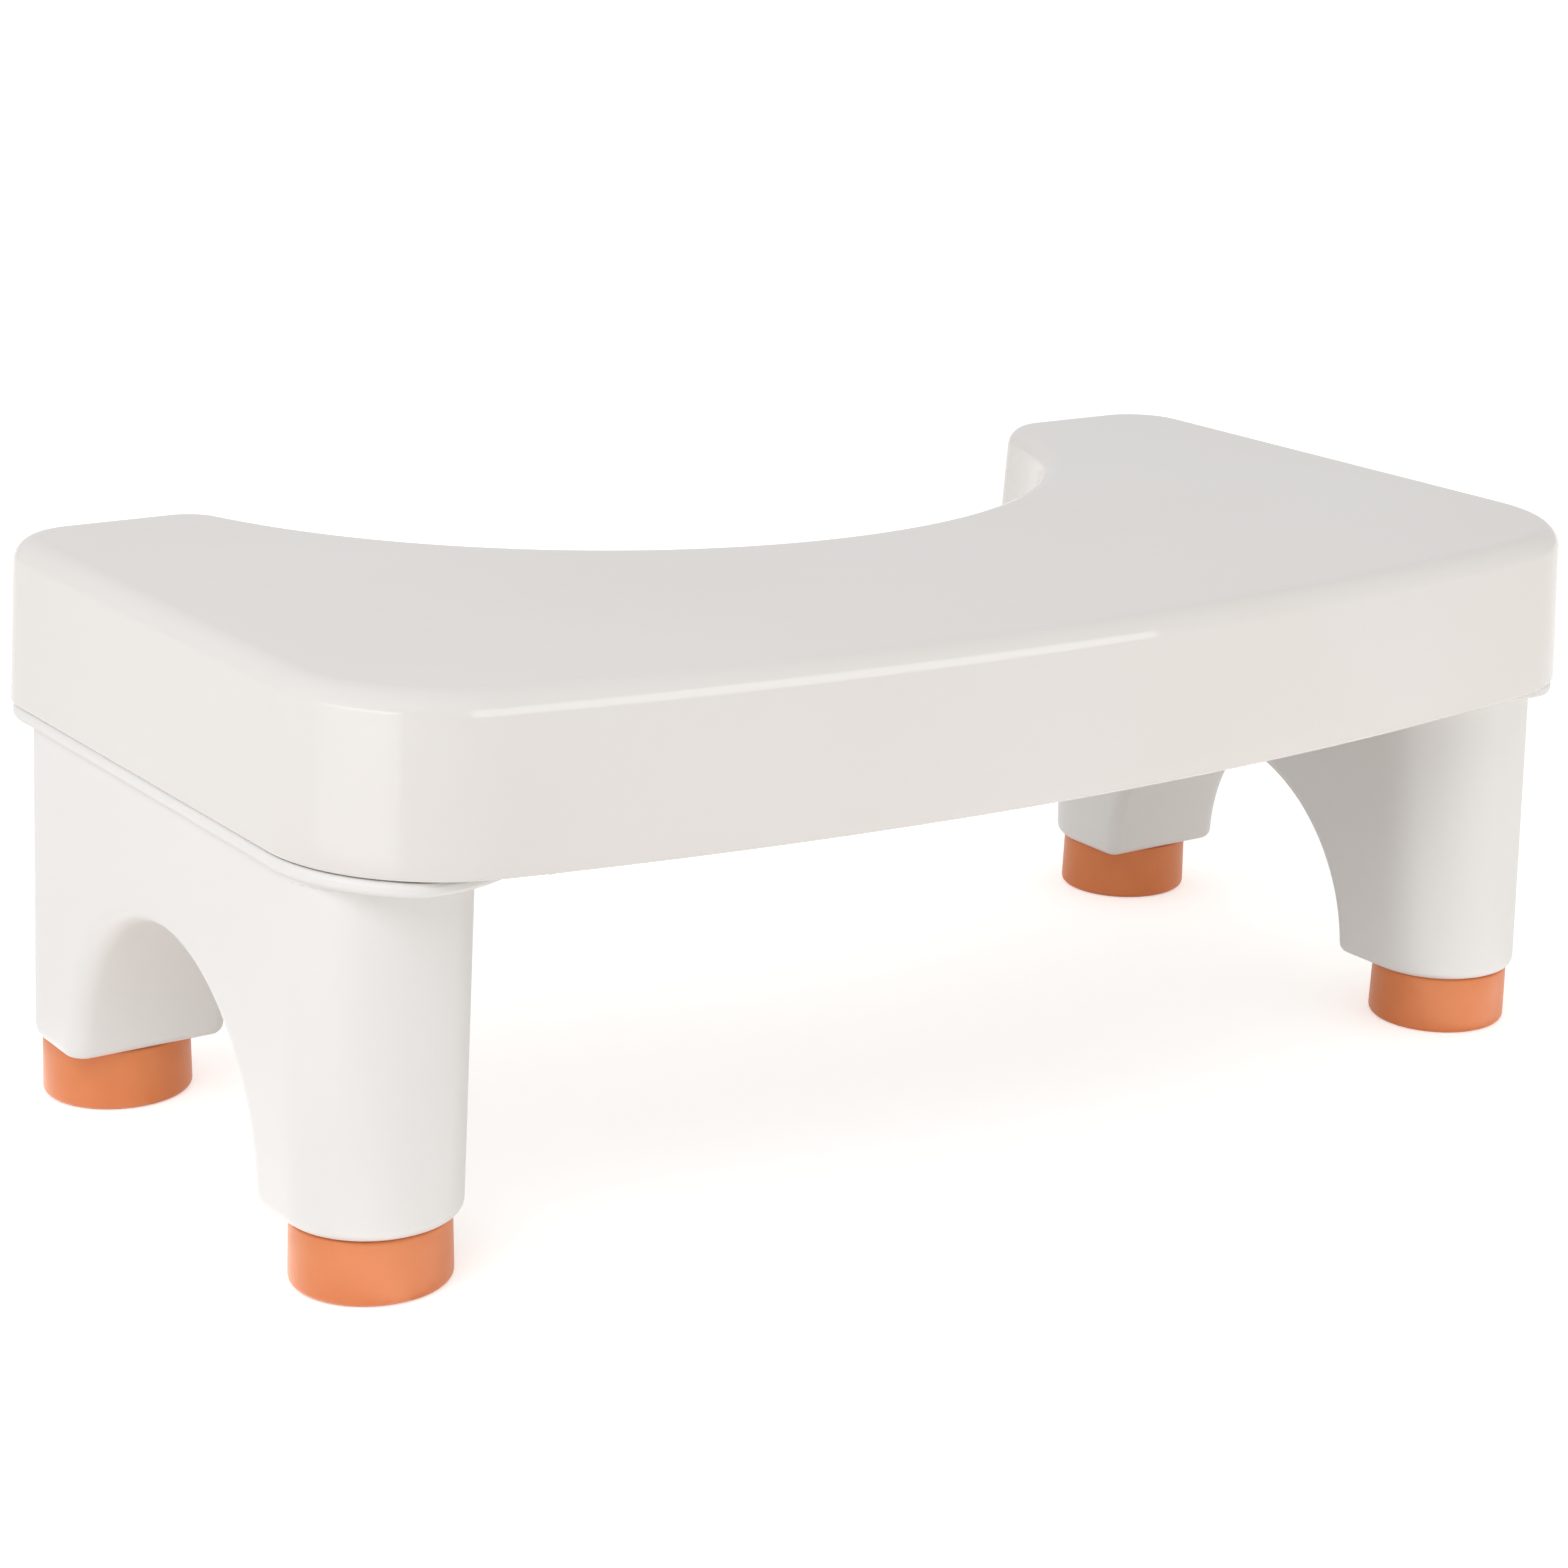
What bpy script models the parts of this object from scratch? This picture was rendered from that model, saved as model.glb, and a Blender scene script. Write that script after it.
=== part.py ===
"""Toilet footstool: a moulded deck with a curved cut-out, two clip-in leg frames and four rubber feet.

Everything is in metres with +Z up. The origin is on the floor, under the middle of the deck's outline.
+X runs along the deck to the right-hand end, and +Y points back towards the cut-out.
"""
import math

import bmesh
import bpy
from mathutils import Matrix, Vector

# Driving dimensions of the deck, measured at the lower edge of its skirt
DECK_LENGTH = 0.430
DECK_DEPTH = 0.2398
STOOL_HEIGHT = 0.1618
SKIRT_HEIGHT = 0.0464
FRONT_RADIUS = 0.931
FRONT_CORNER_RADIUS = 0.0489
BACK_CORNER_RADIUS = 0.0233
WING_WIDTH = 0.0690
CUTOUT_DEPTH = 0.1149
WING_TIP_RADIUS = 0.0183
TOP_EDGE_RADIUS = 0.0068
SKIRT_EDGE_RADIUS = 0.0010
SKIRT_FLARE = 0.0024
SHARPEST_CORNER = 0.0006

# The deck's walls and the ribs under it
DECK_WALL = 0.0024
DECK_TOP_THICKNESS = 0.0032
RIB_THICKNESS = 0.0020
RIB_RISE = 0.0080
CROSS_RIB_SPACING = 0.0460

# Leg frames, measured at the bottoms of their legs
LEG_BOTTOM_HEIGHT = 0.0181
FRAME_WIDTH = 0.0481
FRAME_CORNER_RADIUS = 0.0236
FRAME_END_INSET = 0.0009
FRAME_BACK_SETBACK = 0.0074
FRAME_SPLAY = 0.0030
FRAME_DRAFT = 0.0015
FRAME_END_SPLAY = 0.0026
CORNER_MARGIN = 0.0021
LEG_FLOOR = 0.0032
LEG_BOTTOM_ROUND = 0.0030
ARCH_WIDTH = 0.1088
ARCH_HEIGHT = 0.0554
ARCH_OUTER_ROUND = 0.0065
ARCH_INNER_ROUND = 0.0020

# The lip that the skirt stands over, and the plug that goes up inside the deck
LIP_THICKNESS = 0.0036
LIP_REACH = 0.0130
LIP_INSET = 0.0006
LIP_EDGE_ROUND = 0.0012
SEAM_GAP = 0.0009
PLUG_HEIGHT = 0.0240
PLUG_WALL = 0.0018
PLUG_CLEARANCE = 0.0005

# Catches that hold each leg frame in the deck
CATCH_WIDTH = 0.0120
CATCH_HEIGHT = 0.0060
CATCH_REACH = 0.0020
CATCH_SPACING = 0.1000
CATCH_CLEARANCE = 0.0005
CATCH_SLIT = 0.0012
CATCH_FLEX_LENGTH = 0.0150

# Rubber feet on their spigots
FOOT_WIDTH = 0.0430
FOOT_DEPTH = 0.0409
FOOT_FLARE = 0.0003
FOOT_SOLE = 0.0055
FOOT_TOP_ROUND = 0.0008
FOOT_BOTTOM_ROUND = 0.0018
FOOT_WALL = 0.0052
GROOVE_RADIUS = 0.0120
GROOVE_WIDTH = 0.0024
GROOVE_DEPTH = 0.0012
SPIGOT_WALL = 0.0024
BEAD_HEIGHT = 0.0030
BEAD_REACH = 0.0006

# Clearance between pieces that touch, and how far a cut runs past the surface it opens
FIT_GAP = 0.0003
OVERRUN = 0.0040

# Places given as shares of the sizes that they follow
LONG_RIB_SHARES = (0.30, 0.58)
LAST_RIB_SHARE = 0.33
BEAD_HEIGHT_SHARE = 0.45
CATCH_LEVEL_SHARE = 0.42
CATCH_ROOT_SHARE = 0.25
CORNER_LIMIT_SHARE = 0.98
SOLE_CHAMFER_SHARE = 0.33
LIP_ANGLE_LIMIT = math.radians(55)
SHADING_ANGLE = math.radians(32)
FLAT_ANGLE = math.radians(1)
MERGE_DISTANCE = 0.000020

# How finely curves are divided
BOW_SEGMENTS = 10
CORNER_SEGMENTS = 7
TIP_SEGMENTS = 4
CUTOUT_SEGMENTS = 14
EDGE_SEGMENTS = 4
FRAME_CORNER_SEGMENTS = 7
ARCH_SEGMENTS = 18
FLARE_SEGMENTS = 3
TURNED_STEPS = 32

# Places worked out from the sizes above
SKIRT_BOTTOM = STOOL_HEIGHT - SKIRT_HEIGHT
DECK_UNDERSIDE = STOOL_HEIGHT - DECK_TOP_THICKNESS
LIP_TOP = SKIRT_BOTTOM - SEAM_GAP
LIP_BOTTOM = LIP_TOP - LIP_THICKNESS
PLUG_TOP = LIP_TOP + PLUG_HEIGHT
BACK_LINE = DECK_DEPTH / 2
CUTOUT_WIDTH = DECK_LENGTH - 2 * WING_WIDTH
FRONT_CENTRE_Y = FRONT_RADIUS - DECK_DEPTH / 2
CUTOUT_RADIUS = ((CUTOUT_WIDTH / 2) ** 2 + CUTOUT_DEPTH ** 2) / (2 * CUTOUT_DEPTH)
CUTOUT_CENTRE_Y = BACK_LINE - CUTOUT_DEPTH + CUTOUT_RADIUS
PLUG_STEP = DECK_WALL + SKIRT_FLARE * PLUG_HEIGHT / SKIRT_HEIGHT + PLUG_CLEARANCE - CORNER_MARGIN
FRAME_WALL = PLUG_WALL + PLUG_STEP


def new_object(name, mesh, collection):
    obj = bpy.data.objects.new(name, mesh)
    collection.objects.link(obj)
    return obj


def make_cutter(name, mesh):
    obj = new_object(name, mesh, bpy.data.collections["cutters"])
    obj.hide_render = True
    obj.display_type = "WIRE"
    return obj


def loft(name, rings):
    """Joins matching rings of points into one closed body, with a flat face at each end."""
    bm = bmesh.new()
    loops = [[bm.verts.new(point) for point in ring] for ring in rings]
    count = len(loops[0])
    for lower, upper in zip(loops, loops[1:]):
        for i in range(count):
            j = (i + 1) % count
            bm.faces.new((lower[i], lower[j], upper[j], upper[i]))
    bm.faces.new(loops[0])
    bm.faces.new(loops[-1])
    bmesh.ops.recalc_face_normals(bm, faces=bm.faces)
    mesh = bpy.data.meshes.new(name)
    bm.to_mesh(mesh)
    bm.free()
    return make_cutter(name, mesh)


def box(name, low, high):
    """A rectangular block between two opposite corners."""
    low, high = Vector(low), Vector(high)
    bm = bmesh.new()
    bmesh.ops.create_cube(bm, size=1.0)
    bmesh.ops.scale(bm, vec=high - low, verts=bm.verts)
    bmesh.ops.translate(bm, vec=(low + high) / 2, verts=bm.verts)
    mesh = bpy.data.meshes.new(name)
    bm.to_mesh(mesh)
    bm.free()
    return make_cutter(name, mesh)


def cleaned(obj):
    """Merges points that lie on each other and joins faces that lie in one plane."""
    bm = bmesh.new()
    bm.from_mesh(obj.data)
    bmesh.ops.remove_doubles(bm, verts=bm.verts, dist=MERGE_DISTANCE)
    bmesh.ops.recalc_face_normals(bm, faces=bm.faces)
    bmesh.ops.dissolve_limit(bm, angle_limit=FLAT_ANGLE, verts=bm.verts, edges=bm.edges)
    bm.to_mesh(obj.data)
    bm.free()
    return obj


def plate(name, outline, bottom, top):
    """A flat outline filled and given its thickness as a 2D curve, then made a mesh."""
    curve = bpy.data.curves.new(name, "CURVE")
    curve.dimensions = "2D"
    curve.fill_mode = "BOTH"
    curve.extrude = (top - bottom) / 2
    spline = curve.splines.new("POLY")
    spline.points.add(len(outline) - 1)
    for point, (x, y) in zip(spline.points, outline):
        point.co = (x, y, 0, 1)
    spline.use_cyclic_u = True
    source = new_object(name, curve, bpy.data.collections["cutters"])
    source.location.z = (top + bottom) / 2
    bpy.context.view_layer.update()
    mesh = bpy.data.meshes.new_from_object(source.evaluated_get(bpy.context.evaluated_depsgraph_get()))
    mesh.transform(source.matrix_world)
    bpy.data.objects.remove(source)
    return cleaned(make_cutter(name, mesh))


def turned(name, profile):
    """Spins a profile of radius and height, listed from top to bottom, about the Z axis."""
    mesh = bpy.data.meshes.new(name)
    points = [(radius, 0, height) for radius, height in profile]
    mesh.from_pydata(points, [(i, i + 1) for i in range(len(points) - 1)], [])
    obj = make_cutter(name, mesh)
    screw = obj.modifiers.new("turn", "SCREW")
    screw.angle = math.tau
    screw.steps = TURNED_STEPS
    screw.render_steps = TURNED_STEPS
    screw.use_merge_vertices = True
    screw.merge_threshold = MERGE_DISTANCE
    return bake(obj)


def bake(obj):
    """Replaces an object's mesh with what its modifiers make of it."""
    bpy.context.view_layer.update()
    evaluated = obj.evaluated_get(bpy.context.evaluated_depsgraph_get())
    mesh = bpy.data.meshes.new_from_object(evaluated)
    mesh.transform(obj.matrix_world)
    obj.matrix_world = Matrix.Identity(4)
    obj.modifiers.clear()
    obj.data = mesh
    return obj


def combine(target, other, operation):
    """Adds, cuts or keeps what two bodies share, and removes the second one."""
    modifier = target.modifiers.new(operation.lower(), "BOOLEAN")
    modifier.operation = operation
    modifier.solver = "EXACT"
    modifier.object = other
    bake(target)
    bpy.data.objects.remove(other)
    return target


def moved(obj, x, y, z=0.0):
    obj.data.transform(Matrix.Translation((x, y, z)))
    return obj


def arc(centre, radius, start, end, segments):
    """Points on a circle from one angle to another, both ends included."""
    angles = [start + (end - start) * i / segments for i in range(segments + 1)]
    return [(centre[0] + radius * math.cos(a), centre[1] + radius * math.sin(a)) for a in angles]


def deck_outline(inset):
    """The deck's plan, brought in by an inset: bowed front, round corners and a circular cut-out."""
    half_length = DECK_LENGTH / 2 - inset
    back = BACK_LINE - inset
    bow_radius = FRONT_RADIUS - inset
    front_corner = max(FRONT_CORNER_RADIUS - inset, SHARPEST_CORNER)
    back_corner = max(BACK_CORNER_RADIUS - inset, SHARPEST_CORNER)
    tip = max(WING_TIP_RADIUS - inset, SHARPEST_CORNER)
    cutout = CUTOUT_RADIUS + inset

    corner_x = half_length - front_corner
    corner_y = FRONT_CENTRE_Y - math.sqrt((bow_radius - front_corner) ** 2 - corner_x ** 2)
    lean = math.atan2(corner_x, FRONT_CENTRE_Y - corner_y)
    tip_y = back - tip
    tip_x = math.sqrt((cutout + tip) ** 2 - (CUTOUT_CENTRE_Y - tip_y) ** 2)
    mouth = math.atan2(tip_x, CUTOUT_CENTRE_Y - tip_y)

    down = -math.pi / 2
    half = arc((0, FRONT_CENTRE_Y), bow_radius, down, down + lean, BOW_SEGMENTS)[:-1]
    half += arc((corner_x, corner_y), front_corner, down + lean, 0, CORNER_SEGMENTS)
    half += arc((half_length - back_corner, back - back_corner), back_corner, 0, math.pi / 2, CORNER_SEGMENTS)
    half += arc((tip_x, tip_y), tip, math.pi / 2, math.pi / 2 + mouth, TIP_SEGMENTS)[:-1]
    half += arc((0, CUTOUT_CENTRE_Y), cutout, down + mouth, down, CUTOUT_SEGMENTS)
    return half + [(-x, y) for x, y in reversed(half[1:-1])]


def flare_at(height):
    """How far the skirt has leaned in from its lower edge at a height."""
    return SKIRT_FLARE * (height - SKIRT_BOTTOM) / SKIRT_HEIGHT


def deck_ring(inset, height):
    return [(x, y, height) for x, y in deck_outline(inset)]


def deck_block():
    """The deck's outer form: flared skirt, rounded top edge and flat tread."""
    shoulder = STOOL_HEIGHT - TOP_EDGE_RADIUS
    rings = [deck_ring(SKIRT_EDGE_RADIUS, SKIRT_BOTTOM), deck_ring(0, SKIRT_BOTTOM + SKIRT_EDGE_RADIUS)]
    for i in range(EDGE_SEGMENTS + 1):
        turn = math.pi / 2 * i / EDGE_SEGMENTS
        inset = flare_at(shoulder) + TOP_EDGE_RADIUS * (1 - math.cos(turn))
        rings.append(deck_ring(inset, shoulder + TOP_EDGE_RADIUS * math.sin(turn)))
    return loft("deck_block", rings)


def cavity_block(name, inset, bottom, top):
    """The space inside the skirt, as a body whose walls follow the skirt's lean."""
    return loft(name, [deck_ring(inset + flare_at(z), z) for z in (bottom, top)])


def socket_faces():
    """Where a socket wall's two faces lie, measured from the middle of the stool."""
    section = frame_section(LIP_TOP)
    outer = section["x"] - section["half_width"] + PLUG_STEP - FIT_GAP
    return outer - RIB_THICKNESS, outer


def cross_rib_places():
    """Evenly spaced ribs on both sides of the middle, stopping before the socket walls."""
    count = int((socket_faces()[0] - CROSS_RIB_SPACING * LAST_RIB_SHARE) / CROSS_RIB_SPACING)
    return [CROSS_RIB_SPACING * i for i in range(-count, count + 1)]


def deck_ribs():
    """One body with the socket walls, the long ribs, the cross ribs and the seats over the plugs."""
    low, high = SKIRT_BOTTOM + RIB_RISE, STOOL_HEIGHT
    front, back = -DECK_DEPTH / 2, BACK_LINE
    half_rib = RIB_THICKNESS / 2
    wall_in, wall_out = socket_faces()
    waist_back = BACK_LINE - CUTOUT_DEPTH
    ribs = None
    pieces = []
    for share in LONG_RIB_SHARES:
        y = front + share * (waist_back - front)
        pieces.append(((-wall_in - half_rib, y - half_rib, low), (wall_in + half_rib, y + half_rib, high)))
    for x in cross_rib_places():
        pieces.append(((x - half_rib, front, low), (x + half_rib, back, high)))
    for side in (-1, 1):
        faces = sorted((side * wall_in, side * wall_out))
        pieces.append(((faces[0], front, LIP_TOP + FIT_GAP), (faces[1], back, high)))
        ends = sorted((side * (wall_in + half_rib), side * DECK_LENGTH / 2))
        for y in seat_places():
            pieces.append(((ends[0], y - half_rib, PLUG_TOP + FIT_GAP), (ends[1], y + half_rib, high)))
    for i, (lower, upper) in enumerate(pieces):
        rib = box(f"rib_{i}", lower, upper)
        ribs = rib if ribs is None else combine(ribs, rib, "UNION")
    middle_of_top = (DECK_UNDERSIDE + STOOL_HEIGHT) / 2
    zone = cavity_block("rib_zone", DECK_WALL / 2, LIP_BOTTOM, middle_of_top)
    return combine(ribs, zone, "INTERSECT")


def seat_places():
    """The ribs that bear on a plug's rim: one over each leg and one between them."""
    middle, reach = frame_middle_y(), leg_reach()
    return [middle - reach, middle, middle + reach]


def catch_places():
    return [frame_middle_y() - CATCH_SPACING / 2, frame_middle_y() + CATCH_SPACING / 2]


def catch_level():
    return LIP_TOP + PLUG_HEIGHT * CATCH_LEVEL_SHARE


def deck_shell():
    """The moulded deck: a shell open beneath, with its ribs and the windows for the catches."""
    deck = deck_block()
    cavity = cavity_block("cavity", DECK_WALL, SKIRT_BOTTOM - OVERRUN, DECK_UNDERSIDE)
    combine(deck, cavity, "DIFFERENCE")
    combine(deck, deck_ribs(), "UNION")
    wall_in, wall_out = socket_faces()
    for side in (-1, 1):
        ends = sorted((side * (wall_in - FIT_GAP), side * (wall_out + FIT_GAP)))
        for y in catch_places():
            half = CATCH_WIDTH / 2 + CATCH_CLEARANCE
            low = (ends[0], y - half, catch_level() - CATCH_CLEARANCE)
            high = (ends[1], y + half, catch_level() + CATCH_HEIGHT + CATCH_CLEARANCE)
            combine(deck, box("window", low, high), "DIFFERENCE")
    return deck


def frame_section(height):
    """A leg frame's rounded-oblong section at a height: its middle's x, half width and half length."""
    rise = min((height - LEG_BOTTOM_HEIGHT) / (LIP_TOP - LEG_BOTTOM_HEIGHT), 1)
    return {
        "x": DECK_LENGTH / 2 - FRAME_END_INSET - FRAME_WIDTH / 2 - FRAME_SPLAY * rise,
        "half_width": FRAME_WIDTH / 2 + FRAME_DRAFT * rise,
        "half_length": frame_length() / 2 - FRAME_END_SPLAY * rise,
    }


def frame_front_y():
    """The front of the front leg, set back so that its round corner stays inside the deck's."""
    outer_x = DECK_LENGTH / 2 - FRAME_END_INSET - FRAME_SPLAY + FRAME_DRAFT
    corner_x = DECK_LENGTH / 2 - FRONT_CORNER_RADIUS
    corner_y = FRONT_CENTRE_Y - math.sqrt((FRONT_RADIUS - FRONT_CORNER_RADIUS) ** 2 - corner_x ** 2)
    radius = frame_corner_radius()
    sideways = outer_x - radius - corner_x
    reach = FRONT_CORNER_RADIUS - CORNER_MARGIN - radius
    forward = math.sqrt(max(reach ** 2 - sideways ** 2, 0))
    return corner_y - forward - radius - FRAME_END_SPLAY


def frame_back_y():
    return BACK_LINE - FRAME_BACK_SETBACK


def frame_length():
    return frame_back_y() - frame_front_y()


def frame_middle_y():
    return (frame_back_y() + frame_front_y()) / 2


def frame_corner_radius():
    return min(FRAME_CORNER_RADIUS, FRAME_WIDTH / 2 * CORNER_LIMIT_SHARE)


def leg_reach():
    """From the frame's middle to the middle of a leg's bottom."""
    return (frame_length() + ARCH_WIDTH) / 4


def frame_ring(height, grow=0.0, level=None):
    """The section at a height, grown or shrunk all round, and drawn at that or another level."""
    section = frame_section(height)
    radius = frame_corner_radius() + grow
    dx = section["half_width"] + grow - radius
    dy = section["half_length"] + grow - radius
    corners = [(dx, -dy, -90), (dx, dy, 0), (-dx, dy, 90), (-dx, -dy, 180)]
    ring = []
    for x, y, start in corners:
        centre = (section["x"] + x, frame_middle_y() + y)
        ring += arc(centre, radius, math.radians(start), math.radians(start + 90), FRAME_CORNER_SEGMENTS)
    z = height if level is None else level
    return [(x, y, z) for x, y in ring]


def frame_block():
    """Both legs and the wall between them before the arch is cut, with the narrower plug on top."""
    rings = []
    for i in range(FLARE_SEGMENTS + 1):
        turn = math.pi / 2 * i / FLARE_SEGMENTS
        level = LEG_BOTTOM_HEIGHT + LEG_BOTTOM_ROUND * (1 - math.cos(turn))
        rings.append(frame_ring(level, LEG_BOTTOM_ROUND * (math.sin(turn) - 1)))
    shoulder = (LIP_BOTTOM + LIP_TOP) / 2
    rings.append(frame_ring(shoulder))
    rings.append(frame_ring(LIP_TOP, -PLUG_STEP, level=shoulder))
    rings.append(frame_ring(LIP_TOP, -PLUG_STEP, level=PLUG_TOP))
    return loft("frame_block", rings)


def lip_plate():
    """The flange under the skirt: the leg's outline grown, kept inside the deck's own outline."""
    grown = [(x, y) for x, y, _ in frame_ring(LIP_TOP, LIP_REACH)]
    lip = plate("lip", grown, LIP_BOTTOM, LIP_TOP)
    deck = plate("lip_limit", deck_outline(LIP_INSET), LIP_BOTTOM - OVERRUN, LIP_TOP + OVERRUN)
    cleaned(combine(lip, deck, "INTERSECT"))
    bevel = lip.modifiers.new("edge", "BEVEL")
    bevel.width = LIP_EDGE_ROUND
    bevel.segments = 2
    bevel.limit_method = "ANGLE"
    bevel.angle_limit = LIP_ANGLE_LIMIT
    return cleaned(bake(lip))


def round_over(radius, depth):
    """How far a rounded edge falls back from the wall behind it, at a depth under its face."""
    left = max(radius - depth, 0)
    return radius - math.sqrt(radius ** 2 - left ** 2)


def arch_profile(grow, foot_round):
    """The arch's upright outline as offsets from the frame's middle, from front foot to rear foot."""
    half_width = ARCH_WIDTH / 2 + grow
    height = ARCH_HEIGHT + grow
    steps = [foot_round * i / FLARE_SEGMENTS for i in range(FLARE_SEGMENTS)]
    sides = [(half_width + foot_round, -OVERRUN)]
    sides += [(half_width + round_over(foot_round, step), step) for step in steps]
    start = math.asin(foot_round / height)
    turns = [start + (math.pi - 2 * start) * i / ARCH_SEGMENTS for i in range(ARCH_SEGMENTS + 1)]
    crown = [(half_width * math.cos(turn), height * math.sin(turn)) for turn in turns]
    return sides + crown + [(-y, z) for y, z in reversed(sides)]


def arch_cut():
    """The tunnel between the legs, opening out where its edges meet the outer and inner faces."""
    stations = [(1, -OVERRUN, ARCH_OUTER_ROUND)]
    outer_depths = [ARCH_OUTER_ROUND * (1 - math.cos(math.pi / 2 * i / FLARE_SEGMENTS))
                    for i in range(FLARE_SEGMENTS + 1)]
    stations += [(1, depth, round_over(ARCH_OUTER_ROUND, depth)) for depth in outer_depths]
    inner_depths = [ARCH_INNER_ROUND * (1 - math.cos(math.pi / 2 * i / FLARE_SEGMENTS))
                    for i in range(FLARE_SEGMENTS + 1)]
    stations += [(-1, depth, round_over(ARCH_INNER_ROUND, depth)) for depth in reversed(inner_depths)]
    stations.append((-1, -OVERRUN, ARCH_INNER_ROUND))
    rings = []
    for face, depth, flare in stations:
        ring = []
        for y, z in arch_profile(flare, LEG_BOTTOM_ROUND):
            height = LEG_BOTTOM_HEIGHT + z
            section = frame_section(height)
            x = section["x"] + face * (section["half_width"] - depth)
            ring.append((x, frame_middle_y() + y, height))
        rings.append(ring)
    return loft("arch_cut", rings)


def arch_core(grow):
    """A plain arch right through the frame, which the hollow is kept clear of."""
    outline = arch_profile(grow, 0)
    near = DECK_LENGTH / 2 - FRAME_END_INSET + OVERRUN
    far = frame_section(LIP_TOP)["x"] - FRAME_WIDTH
    rings = [[(x, frame_middle_y() + y, LEG_BOTTOM_HEIGHT + z) for y, z in outline] for x in (near, far)]
    return loft("arch_core", rings)


def frame_hollow():
    """The inside of the leg frame, open at the top and closed at the leg bottoms and over the arch."""
    floor = LEG_BOTTOM_HEIGHT + LEG_FLOOR
    rings = [frame_ring(floor, -FRAME_WALL), frame_ring(LIP_TOP, -FRAME_WALL),
             frame_ring(LIP_TOP, -FRAME_WALL, level=PLUG_TOP + OVERRUN)]
    hollow = loft("frame_hollow", rings)
    wall = FRAME_WALL + round_over(ARCH_OUTER_ROUND, FRAME_WALL)
    return combine(hollow, arch_core(wall), "DIFFERENCE")


def foot_places():
    """The middles of one frame's two feet, where the legs' lean meets the floor."""
    x = frame_section(0)["x"]
    return [(x, frame_middle_y() - leg_reach()), (x, frame_middle_y() + leg_reach())]


def spigot_radius():
    return FOOT_DEPTH / 2 - FOOT_WALL - FIT_GAP


def bead_profile(radius, upper, lower):
    """Radius and height pairs down the side of a spigot or its socket, with the retaining bead."""
    level = FOOT_SOLE + (LEG_BOTTOM_HEIGHT - FOOT_SOLE) * BEAD_HEIGHT_SHARE
    half = BEAD_HEIGHT / 2
    return [(0, upper), (radius, upper), (radius, level + half), (radius + BEAD_REACH, level),
            (radius, level - half), (radius, lower), (0, lower)]


def leg_frame():
    """The right-hand leg frame: two hollow legs, the arch, the lip, the plug, catches and spigots."""
    frame = frame_block()
    combine(frame, lip_plate(), "UNION")
    combine(frame, arch_cut(), "DIFFERENCE")
    combine(frame, frame_hollow(), "DIFFERENCE")
    floor_middle = LEG_BOTTOM_HEIGHT + LEG_FLOOR / 2
    bore_radius = spigot_radius() - SPIGOT_WALL
    for x, y in foot_places():
        profile = bead_profile(spigot_radius(), floor_middle, FOOT_SOLE + FIT_GAP)
        combine(frame, moved(turned("spigot", profile), x, y), "UNION")
        top = LEG_BOTTOM_HEIGHT + LEG_FLOOR + OVERRUN
        bottom = FOOT_SOLE + FIT_GAP + SPIGOT_WALL
        bore = turned("spigot_bore", [(0, top), (bore_radius, top), (bore_radius, bottom), (0, bottom)])
        combine(frame, moved(bore, x, y), "DIFFERENCE")
    for y in catch_places():
        add_catch(frame, y)
    return frame


def add_catch(frame, y):
    """A sprung tongue in the plug's inner wall, between two slits, with its barb."""
    section = frame_section(LIP_TOP)
    face = section["x"] - section["half_width"] + PLUG_STEP
    half = CATCH_WIDTH / 2
    level = catch_level()
    root = face + PLUG_WALL / 2
    barb = box("barb", (face - CATCH_REACH, y - half, level), (root, y + half, level + CATCH_HEIGHT))
    for vertex in barb.data.vertices:
        if vertex.co.x < face and vertex.co.z > level + CATCH_HEIGHT / 2:
            vertex.co.x = face + PLUG_WALL * CATCH_ROOT_SHARE
    combine(frame, barb, "UNION")
    for side in (-1, 1):
        near, far = sorted((y + side * half, y + side * (half + CATCH_SLIT)))
        low = (face - OVERRUN, near, PLUG_TOP - CATCH_FLEX_LENGTH)
        high = (face + FRAME_WALL, far, PLUG_TOP + OVERRUN)
        combine(frame, box("slit", low, high), "DIFFERENCE")


def rubber_foot():
    """A press-on rubber foot about its own middle: a cup over the spigot with a grooved sole."""
    top = LEG_BOTTOM_HEIGHT - FIT_GAP
    radius = FOOT_DEPTH / 2
    upper = radius - FOOT_FLARE
    chamfer = FOOT_BOTTOM_ROUND * SOLE_CHAMFER_SHARE
    groove_out, groove_in = GROOVE_RADIUS + GROOVE_WIDTH / 2, GROOVE_RADIUS - GROOVE_WIDTH / 2
    profile = [
        (0, top), (upper - FOOT_TOP_ROUND, top), (upper, top - FOOT_TOP_ROUND),
        (radius, FOOT_BOTTOM_ROUND), (radius - chamfer, chamfer),
        (radius - FOOT_BOTTOM_ROUND, 0), (groove_out, 0), (groove_out, GROOVE_DEPTH),
        (groove_in, GROOVE_DEPTH), (groove_in, 0), (0, 0),
    ]
    foot = turned("foot_body", profile)
    foot.data.transform(Matrix.Scale(FOOT_WIDTH / FOOT_DEPTH, 4, (1, 0, 0)))
    socket = turned("foot_socket", bead_profile(spigot_radius() + FIT_GAP, top + OVERRUN, FOOT_SOLE))
    return combine(foot, socket, "DIFFERENCE")


def mirrored(obj, name):
    """A left-handed copy, reflected through the stool's middle and turned right side out."""
    bm = bmesh.new()
    bm.from_mesh(obj.data)
    bmesh.ops.scale(bm, vec=(-1, 1, 1), verts=bm.verts)
    bmesh.ops.reverse_faces(bm, faces=bm.faces)
    mesh = bpy.data.meshes.new(name)
    bm.to_mesh(mesh)
    bm.free()
    return make_cutter(name, mesh)


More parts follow.
